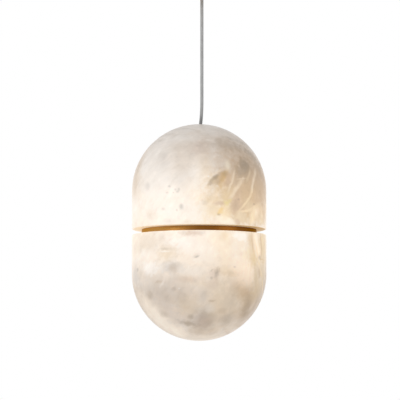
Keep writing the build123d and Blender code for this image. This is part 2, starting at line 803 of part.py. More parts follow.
# Lamp boards, their chips and their opal covers, one set above the core and one below
diffuser_edges = {"upper": lip_bore - passing_gap, "lower": boss_radius - passing_gap}
led_length, led_width, led_height = led_size
boards = {}
chips = {}
diffusers = {}
for side, (face_z, away) in core_sides.items():
    diffuser_edge = diffuser_edges[side]
    diffuser_inside = diffuser_edge - diffuser_wall
    board_edge = diffuser_inside - passing_gap
    with BuildPart() as board:
        with BuildSketch(head_level(face_z)):
            Circle(board_edge)
            Circle(board_bore, mode=Mode.SUBTRACT)
            with PolarLocations(board_screw_circle, board_screw_count, screw_turns[side]):
                Circle(small_screw_radius + fixed_gap, mode=Mode.SUBTRACT)
        extrude(amount=away * board_thickness)
    with BuildPart() as chip_rows:
        with BuildSketch(head_level(face_z + away * board_thickness)):
            for share, count in led_rows:
                with PolarLocations(board_bore + share * (board_edge - board_bore), count):
                    Rectangle(led_length, led_width)
        extrude(amount=away * led_height)
    with BuildPart() as diffuser:
        with BuildSketch(head_section(face_z)):
            with BuildLine():
                Polyline(
                    (diffuser_bore, 0),
                    (board_bore - passing_gap, 0),
                    (board_bore - passing_gap, away * (diffuser_height - diffuser_wall)),
                    (diffuser_inside, away * (diffuser_height - diffuser_wall)),
                    (diffuser_inside, 0),
                    (diffuser_edge, 0),
                    (diffuser_edge, away * diffuser_height),
                    (diffuser_foot_radius, away * diffuser_height),
                    (diffuser_foot_radius, away * diffuser_wall),
                    (diffuser_bore, away * diffuser_wall),
                    close=True,
                )
            make_face()
        revolve(axis=head_axis)
        with BuildSketch(head_level(face_z)):
            with PolarLocations(diffuser_screw_circle, diffuser_screw_count, screw_turns[side]):
                Circle(small_screw_radius + fixed_gap)
        extrude(amount=away * diffuser_wall, mode=Mode.SUBTRACT)
        notch_z = face_z + away * (diffuser_height / 2 + diffuser_wall / 2)
        with BuildSketch(head_outward(notch_z, lead_turns[side]).offset(diffuser_bore)):
            Rectangle(lead_window_width, diffuser_height - 2 * diffuser_wall)
        extrude(amount=board_bore - diffuser_bore, mode=Mode.SUBTRACT)
    boards[side] = board
    chips[side] = chip_rows
    diffusers[side] = diffuser

with BuildPart() as board_screws:
    for side, (face_z, away) in core_sides.items():
        spots = (board_screw_circle, board_screw_count, screw_turns[side])
        with BuildSketch(head_level(face_z + away * board_thickness)):
            with PolarLocations(*spots):
                Circle(small_screw_radius)
        extrude(amount=-away * (board_thickness + small_screw_grip))
        with BuildSketch(head_level(face_z + away * board_thickness)):
            with PolarLocations(*spots):
                Circle(small_head_diameter / 2)
        extrude(amount=away * small_head_height)

with BuildPart() as diffuser_screws:
    for side, (face_z, away) in core_sides.items():
        spots = (diffuser_screw_circle, diffuser_screw_count, screw_turns[side])
        with BuildSketch(head_level(face_z + away * diffuser_wall)):
            with PolarLocations(*spots):
                Circle(small_screw_radius)
        extrude(amount=-away * (diffuser_wall + small_screw_grip))
        with BuildSketch(head_level(face_z + away * diffuser_wall)):
            with PolarLocations(*spots):
                Circle(small_head_diameter / 2)
        extrude(amount=away * small_head_height)

# Plugs on the boards, and the wires that come down the tube to them
connector_length, connector_width, connector_height = connector_size
connector_near = connector_circle - connector_length / 2
lamp_lead_top = lower_ball_z - ball_room - passing_gap
lamp_lead_inset = tube_bore / 4

with BuildPart() as board_connectors:
    for side, (face_z, away) in core_sides.items():
        with BuildSketch(head_level(face_z + away * board_thickness)):
            with PolarLocations(connector_circle, 1, lead_turns[side]):
                Rectangle(connector_length, connector_width)
        extrude(amount=away * connector_height)

with BuildPart() as lamp_leads:
    for side, (face_z, away) in core_sides.items():
        entry_z = face_z + away * (board_thickness + connector_height / 2)
        section = head_section(0, lead_turns[side])
        if side == "upper":
            bends = [(lamp_lead_inset, window_z)]
        else:
            bends = [
                (lamp_lead_inset, tube_foot_z - lamp_lead_bend),
                (tube_diameter, tube_foot_z - 2 * lamp_lead_bend),
            ]
        lead_end = [(diffuser_foot_radius, entry_z), (connector_near, entry_z)]
        route = [(lamp_lead_inset, lamp_lead_top), *bends, *lead_end]
        with BuildLine(section):
            FilletPolyline(*route, radius=lamp_lead_bend)
        with BuildSketch(head_level(lamp_lead_top)):
            with PolarLocations(lamp_lead_inset, 1, lead_turns[side]):
                Circle(lamp_lead_diameter / 2)
        sweep()

pieces = {
    "ceiling_plate": ceiling_plate,
    "ball_socket": ball_socket,
    "socket_screws": socket_screws,
    "led_driver": led_driver,
    "driver_screws": driver_screws,
    "terminal_block": terminal_block,
    "terminal_screws": terminal_screws,
    "terminal_fixing_screw": terminal_fixing_screw,
    "earth_screw": earth_screw,
    "supply_grommet": supply_grommet,
    "driver_leads": driver_leads,
    "cord_tails": cord_tails,
    "cup_thumb_screws": cup_thumb_screws,
    "ceiling_cup": ceiling_cup,
    "pendant_cord": pendant_cord,
    "upper_ball": upper_ball,
    "lower_ball": lower_ball,
    "swivel_seat": swivel_seat,
    "gland_body": gland_body,
    "centre_tube": centre_tube,
    "tube_washers": tube_washers,
    "tube_nuts": tube_nuts,
    "core_plate": core_plate,
    "bayonet_stops": bayonet_stops,
    "brass_band": brass_band,
    "band_screws": band_screws,
    "upper_gasket": upper_gasket,
    "lower_gasket": lower_gasket,
    "upper_stone": upper_stone,
    "top_bush": top_bush,
    "upper_led_board": boards["upper"],
    "lower_led_board": boards["lower"],
    "upper_leds": chips["upper"],
    "lower_leds": chips["lower"],
    "upper_diffuser": diffusers["upper"],
    "lower_diffuser": diffusers["lower"],
    "board_screws": board_screws,
    "diffuser_screws": diffuser_screws,
    "board_connectors": board_connectors,
    "lamp_leads": lamp_leads,
    "lower_skirt": lower_skirt,
    "lower_shoulder": lower_shoulder,
    "lower_base": lower_base,
    "bowl_ring": bowl_ring,
}
for name, piece in pieces.items():
    piece.part.label = name
    export_step(piece.part, f"parts/{name}.step")
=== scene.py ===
"""Looks of the alabaster pendant light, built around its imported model.

Two turned alabaster halves, a NURBS cord and the studio are made here. The metal, plastic and lamp
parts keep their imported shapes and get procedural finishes. Lengths are in metres in the frame of the
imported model: the origin is on the ceiling, +Z points up and +X to the right of the photographed view.
"""

from __future__ import annotations

import json
import logging
import math
from dataclasses import dataclass
from enum import Enum
from typing import ClassVar

import bpy
import numpy as np
from mathutils import Matrix, Vector


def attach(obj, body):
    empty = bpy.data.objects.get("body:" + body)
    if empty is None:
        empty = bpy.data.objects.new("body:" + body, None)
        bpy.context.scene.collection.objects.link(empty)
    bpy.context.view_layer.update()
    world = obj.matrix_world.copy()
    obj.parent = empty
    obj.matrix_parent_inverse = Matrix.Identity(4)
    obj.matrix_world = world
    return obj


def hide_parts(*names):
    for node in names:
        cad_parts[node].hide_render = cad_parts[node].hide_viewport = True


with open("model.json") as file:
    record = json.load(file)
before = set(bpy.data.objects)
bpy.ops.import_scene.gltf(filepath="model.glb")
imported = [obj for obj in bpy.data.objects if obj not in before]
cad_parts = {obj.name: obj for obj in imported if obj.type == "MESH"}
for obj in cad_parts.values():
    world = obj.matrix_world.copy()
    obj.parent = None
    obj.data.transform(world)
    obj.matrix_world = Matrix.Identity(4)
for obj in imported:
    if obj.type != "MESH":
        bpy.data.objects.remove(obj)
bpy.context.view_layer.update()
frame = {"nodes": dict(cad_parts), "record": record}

log = logging.getLogger("pendant")

Triple = tuple[float, float, float]
Colour = Triple
Socket = bpy.types.NodeSocket
MM = 0.001
MIDDLE = 0.5  # the middle value of a noise
WHITE = (1.0, 1.0, 1.0)
BLACK = (0.0, 0.0, 0.0)


class Field:
    """A number that changes over a surface: one socket, with arithmetic that adds Math nodes."""

    def __init__(self, sheet: Sheet, socket: Socket) -> None:
        """Keeps the socket and the sheet that it lies on."""
        self.sheet = sheet
        self.socket = socket

    def _math(self, operation: str, *operands: Field | float) -> Field:
        """Adds one Math node.

        Args:
            operation: the node's operation.
            operands: numbers or fields, in the order of the node's inputs.

        Returns:
            The node's result.
        """
        node = self.sheet.node("ShaderNodeMath", {"operation": operation}, dict(enumerate(operands)))
        return Field(self.sheet, node.outputs[0])

    def __add__(self, other: Field | float) -> Field:
        """Sum."""
        return self._math("ADD", self, other)

    def __radd__(self, other: float) -> Field:
        """Sum with a number on the left."""
        return self._math("ADD", other, self)

    def __sub__(self, other: Field | float) -> Field:
        """Difference."""
        return self._math("SUBTRACT", self, other)

    def __rsub__(self, other: float) -> Field:
        """Difference from a number."""
        return self._math("SUBTRACT", other, self)

    def __mul__(self, other: Field | float) -> Field:
        """Product."""
        return self._math("MULTIPLY", self, other)

    def __rmul__(self, other: float) -> Field:
        """Product with a number on the left."""
        return self._math("MULTIPLY", other, self)

    def __abs__(self) -> Field:
        """Size without its sign."""
        return self._math("ABSOLUTE", self)

    def root(self) -> Field:
        """Square root."""
        return self._math("SQRT", self)

    def or_more(self, other: Field) -> Field:
        """The larger of this field and another."""
        return self._math("MAXIMUM", self, other)

    def angle_to(self, other: Field) -> Field:
        """Angle of the direction whose two parts are this field and another."""
        return self._math("ARCTAN2", self, other)

    def fade(self, low: float, high: float, top: float = 1.0) -> Field:
        """Smooth step of this field.

        Args:
            low: value that gives 0.
            high: value that gives the top. It may be the smaller of the two.
            top: the highest result.

        Returns:
            A field from 0 to the top.
        """
        first, last, start, end = (low, high, 0.0, top) if low < high else (high, low, top, 0.0)
        node = self.sheet.node(
            "ShaderNodeMapRange",
            {"interpolation_type": "SMOOTHSTEP"},
            {"Value": self, "From Min": first, "From Max": last, "To Min": start, "To Max": end},
        )
        return Field(self.sheet, node.outputs[0])


class Sheet:
    """A sheet of shader nodes."""

    def __init__(self, tree: bpy.types.NodeTree) -> None:
        """Takes over a node tree and empties it."""
        self.tree = tree
        self.tree.nodes.clear()

    def node(self, kind: str, settings: dict, sockets: dict) -> bpy.types.Node:
        """Adds one node.

        Args:
            kind: the node's type.
            settings: its properties. A colour ramp takes its stops as pairs of place and colour.
            sockets: values, fields, sockets or nodes for its inputs, by name or number.

        Returns:
            The new node.
        """
        made = self.tree.nodes.new(kind)
        for key, value in settings.items():
            if key == "stops":
                self._set_stops(made.color_ramp, value)
            else:
                setattr(made, key, value)
        self.feed(made, sockets)
        return made

    @staticmethod
    def _set_stops(ramp: bpy.types.ColorRamp, stops: tuple[tuple[float, Colour], ...]) -> None:
        """Gives a colour ramp its stops.

        Args:
            ramp: the ramp.
            stops: pairs of place and colour, from low to high.
        """
        while len(ramp.elements) < len(stops):
            ramp.elements.new(1.0)
        for element, (place, colour) in zip(ramp.elements, stops):
            element.position = place
            element.color = (*colour, 1.0)

    def feed(self, node: bpy.types.Node, sockets: dict) -> None:
        """Sets or links a node's inputs.

        Args:
            node: the node to feed.
            sockets: values, fields, sockets or nodes, by input name or number.
        """
        for key, value in sockets.items():
            target = node.inputs[key]
            if isinstance(value, Field):
                self.tree.links.new(value.socket, target)
            elif isinstance(value, Socket):
                self.tree.links.new(value, target)
            elif isinstance(value, bpy.types.Node):
                self.tree.links.new(value.outputs[0], target)
            elif target.type == "RGBA":
                target.default_value = (*value[:3], 1.0)
            else:
                target.default_value = value

    def value(self, node: bpy.types.Node, output: int | str = 0) -> Field:
        """One output of a node as a field."""
        return Field(self, node.outputs[output])

    def seen(self) -> Field:
        """Where the eye, a reflection or a look through glass meets the surface.

        Returns:
            A field that is 1 there, and 0 for the light that falls on other things.
        """
        path = self.node("ShaderNodeLightPath", {}, {})
        eye = self.value(path, "Is Camera Ray")
        mirror = self.value(path, "Is Glossy Ray")
        return eye.or_more(mirror).or_more(self.value(path, "Is Transmission Ray"))


class Coat(Sheet):
    """The node sheet of one material, with a Principled shader on it."""

    push_detail: ClassVar[float] = 2.0  # octaves of the noise that pushes coordinates about
    mix_inputs: ClassVar[tuple[int, int, int]] = (0, 6, 7)  # share and two colours of a Mix node
    mix_output: ClassVar[int] = 2  # its mixed colour

    def __init__(self, name: str) -> None:
        """Makes an empty material with a shader and its output.

        Args:
            name: the material's name.
        """
        self.material = bpy.data.materials.new(name)
        self.material.use_nodes = True
        super().__init__(self.material.node_tree)
        self.shader = self.node("ShaderNodeBsdfPrincipled", {}, {})
        self.node("ShaderNodeOutputMaterial", {}, {"Surface": self.shader})
        self.place = self.node("ShaderNodeTexCoord", {}, {}).outputs["Object"]

    def noise_node(self, scale: float, detail: float, place: Socket | None) -> bpy.types.Node:
        """Adds a noise texture.

        Args:
            scale: waves to a metre.
            detail: octaves.
            place: coordinates, or None for the object's own.

        Returns:
            The texture node.
        """
        sockets = {"Vector": place or self.place, "Scale": scale, "Detail": detail}
        return self.node("ShaderNodeTexNoise", {}, sockets)

    def noise(self, scale: float, detail: float, place: Socket | None = None) -> Field:
        """The value of a noise texture, with the sizes that noise_node takes."""
        return self.value(self.noise_node(scale, detail, place))

    def mix(
        self, share: Field | float, low: Colour | Socket, high: Colour | Socket, blend: str = "MIX"
    ) -> Socket:
        """Mixes two colours.

        Args:
            share: how much of the second colour.
            low: first colour or its socket.
            high: second colour or its socket.
            blend: the way they mix.

        Returns:
            The socket of the mixed colour.
        """
        settings = {"data_type": "RGBA", "blend_type": blend}
        sockets = dict(zip(self.mix_inputs, (share, low, high)))
        return self.node("ShaderNodeMix", settings, sockets).outputs[self.mix_output]

    def parts(self, axis_x: float = 0.0) -> tuple[Field, Field, Field]:
        """The three coordinates of a point, the first one from an upright axis."""
        split = self.node("ShaderNodeSeparateXYZ", {}, {0: self.place})
        return self.value(split, "X") - axis_x, self.value(split, "Y"), self.value(split, "Z")

    def vector(self, operation: str, first: Triple | Socket, second: Triple | Socket) -> Socket:
        """Adds one Vector Math node of two vectors and gives its vector."""
        return self.node("ShaderNodeVectorMath", {"operation": operation}, {0: first, 1: second}).outputs[0]

    def shifted(self, scale: float, reach: float, place: Socket | None = None) -> Socket:
        """Coordinates pushed about by noise.

        Args:
            scale: waves to a metre.
            reach: width of the push in metres.
            place: coordinates to push, or None for the object's own.

        Returns:
            The socket of the pushed coordinates.
        """
        start = place or self.place
        noise = self.noise_node(scale, self.push_detail, start).outputs["Color"]
        push = self.vector("SUBTRACT", noise, (MIDDLE,) * 3)
        moved = self.vector("ADD", start, self.vector("MULTIPLY", push, (reach,) * 3))
        return self.node("ShaderNodeMapping", {"vector_type": "POINT"}, {"Vector": moved}).outputs[0]

    def bump(self, height: Field, strength: float, depth: float) -> None:
        """Gives the shader a bump.

        Args:
            height: the relief, about 0 to 1.
            strength: share of the bump.
            depth: height of the relief in metres.
        """
        sockets = {"Height": height, "Strength": strength, "Distance": depth}
        self.feed(self.shader, {"Normal": self.node("ShaderNodeBump", {}, sockets)})


class Tone(Enum):
    """Tints of the alabaster, as linear colours. The gleam is a place where more light comes through."""

    GLEAM = (1.300, 1.180, 1.030)
    FROST = (1.040, 0.995, 0.950)
    BLOOM = (1.220, 1.010, 0.810)
    MILK = (0.960, 0.905, 0.850)
    IVORY = (0.955, 0.860, 0.710)
    CREAM = (0.950, 0.810, 0.640)
    PEACH = (0.980, 0.800, 0.560)
    APRICOT = (1.070, 0.800, 0.480)
    SAND = (0.840, 0.690, 0.500)
    WHEAT = (0.820, 0.640, 0.370)
    BLUSH = (0.800, 0.700, 0.600)
    MIST = (0.720, 0.670, 0.630)
    TAN = (0.690, 0.510, 0.345)
    MAUVE = (0.630, 0.470, 0.380)
    FAWN = (0.620, 0.485, 0.355)
    ASH = (0.440, 0.385, 0.325)
    SMOKE = (0.380, 0.300, 0.215)
    SLATE = (0.325, 0.318, 0.300)
    AMBER = (0.680, 0.450, 0.200)
    HONEY = (0.880, 0.640, 0.290)
    STRAW = (0.820, 0.680, 0.310)


class Side(Enum):
    """The side from which a mark is seen, as a turn round the stone in degrees."""

    FRONT = 0.0
    RIGHT = 90.0
    BACK = 180.0
    LEFT = 270.0


class Kind(Enum):
    """How a mark's edge runs: drifting and widely torn, finely torn, nearly clear, or as a pit's."""

    CLOUD = "cloud"
    VEIN = "vein"
    CLEAR = "clear"
    FLECK = "fleck"


@dataclass(frozen=True)
class View:
    """The photographed viewpoint: a camera in front of the stone, a little below it, that looks up."""

    aim: Triple = (-2.8 * MM, 0.0, -342.0 * MM)  # seen in the picture's middle
    distance: float = 4.0
    width: float = 595.7 * MM  # seen across the picture at the aim
    lift: float = 5.1  # degrees
    columns: int = 400  # pixels across the picture

    @property
    def pixel(self) -> float:
        """Width of a pixel at the aim."""
        return self.width / self.columns

    @property
    def ahead(self) -> Vector:
        """Direction in which the camera looks."""
        lift = math.radians(self.lift)
        return Vector((0, math.cos(lift), math.sin(lift)))

    @property
    def place(self) -> Vector:
        """Where the camera stands."""
        return Vector(self.aim) - self.distance * self.ahead

    def line(self, column: float, row: float) -> Vector:
        """Direction of the line of sight through a point of the picture.

        Args:
            column: pixel column.
            row: pixel row.

        Returns:
            A direction of length 1.
        """
        right = Vector((1, 0, 0))
        above = right.cross(self.ahead)
        shift = (column - self.columns / 2) * right + (self.columns / 2 - row) * above
        return (self.distance * self.ahead + self.pixel * shift).normalized()


@dataclass(frozen=True)
class Pill:
    """Outer form of the closed stone."""

    axis_x: float = -4.0 * MM
    reveal_z: float = -390.25 * MM
    radius: float = 100.0 * MM
    straight: float = 61.25 * MM  # from the middle of the reveal to a dome's centre
    view: View = View()
    steepest: float = 0.16  # least square of the foreshortening that a mark is stretched for
    least_depth: float = 6.0  # pixels that a mark reaches into the stone

    def reach(self, start: Vector, line: Vector) -> float:
        """How far along a line the stone's round begins, or where the line passes nearest.

        Args:
            start: the line's first point, from the middle of the round.
            line: the line's direction.

        Returns:
            The distance, as a multiple of the direction's length.
        """
        square, slope = line.dot(line), start.dot(line)
        left = max(0.0, slope**2 - square * (start.dot(start) - self.radius**2))
        return -(slope + math.sqrt(left)) / square

    def spot(self, column: float, row: float, side: Side) -> tuple[Vector, Vector, Vector]:
        """Finds the point of the stone under a pixel of a view from one side.

        Args:
            column: pixel column.
            row: pixel row.
            side: the side that the view is from.

        Returns:
            The point, the outward normal there and the direction to the viewer.
        """
        middle = Vector((self.axis_x, 0, self.reveal_z))
        start = self.view.place - middle
        line = self.view.line(column, row)
        point = start + self.reach(start.xy, line.xy) * line
        core = Vector((0, 0, point.z))
        if abs(point.z) > self.straight:
            core = Vector((0, 0, math.copysign(self.straight, point.z)))
            point = start + self.reach(start - core, line) * line
        normal = (point - core).normalized()
        turn = Matrix.Rotation(math.radians(side.value), 3, "Z")
        return middle + turn @ (core + self.radius * normal), turn @ normal, turn @ -line


@dataclass(frozen=True)
class Mark:
    """One patch, vein or fleck of the stone, given in pixels of the view from its side.

    Its size is the full width and height at which it has half its strength. It leans to the right by
    a turn in degrees, and its edge fades over a share of its size.
    """

    x: float
    y: float
    wide: float
    tall: float
    tone: Tone
    strength: float
    lean: float = 0.0
    soft: float = 0.9
    kind: Kind = Kind.CLOUD
    side: Side = Side.FRONT

    def frame_on(self, pill: Pill) -> tuple[Vector, Matrix, Vector]:
        """Lays the mark on the stone.

        Args:
            pill: the stone's outer form.

        Returns:
            The mark's centre, its axes as a matrix's columns, and its half sizes along them.
        """
        point, normal, sight = pill.spot(self.x, self.y, self.side)
        pixel = pill.view.pixel
        level = Vector((0, 0, 1)).cross(normal).normalized()
        rise = normal.cross(level)
        level_stretch = 1 / math.sqrt(max(pill.steepest, 1 - level.dot(sight) ** 2))
        rise_stretch = 1 / math.sqrt(max(pill.steepest, 1 - rise.dot(sight) ** 2))
        view_lean = math.radians(self.lean)
        tall_way = Vector((math.sin(view_lean) * level_stretch, math.cos(view_lean) * rise_stretch))
        wide_way = Vector((math.cos(view_lean) * level_stretch, -math.sin(view_lean) * rise_stretch))
        wide = self.wide / 2 * pixel * wide_way.length
        tall = self.tall / 2 * pixel * tall_way.length
        lean = math.atan2(tall_way.x, tall_way.y)
        along = math.cos(lean) * rise + math.sin(lean) * level
        across = math.cos(lean) * level - math.sin(lean) * rise
        axes = Matrix((across, -normal, along)).transposed()
        deep = max(wide, tall, pill.least_depth * pixel)
        return point, axes, Vector((wide, deep, tall))


@dataclass(frozen=True)
class Stroke:
    """A long vein or band drawn through points of a view, as one slim mark for each stretch."""

    path: tuple[tuple[float, float], ...]
    wide: float
    tone: Tone
    strength: float
    soft: float = 0.9
    kind: Kind = Kind.VEIN
    side: Side = Side.FRONT
    overlap: float = 1.3  # a mark's length as a share of its stretch

    def marks(self) -> tuple[Mark, ...]:
        """Cuts the path into marks.

        Returns:
            The marks, in the order of the path.
        """
        found = []
        for (x, y), (next_x, next_y) in zip(self.path, self.path[1:]):
            lean = math.degrees(math.atan2(next_x - x, y - next_y))
            tall = self.overlap * math.hypot(next_x - x, next_y - y)
            middle = (x + next_x) / 2, (y + next_y) / 2
            style = (self.tone, self.strength, lean, self.soft, self.kind, self.side)
            found.append(Mark(*middle, self.wide, tall, *style))
        return tuple(found)


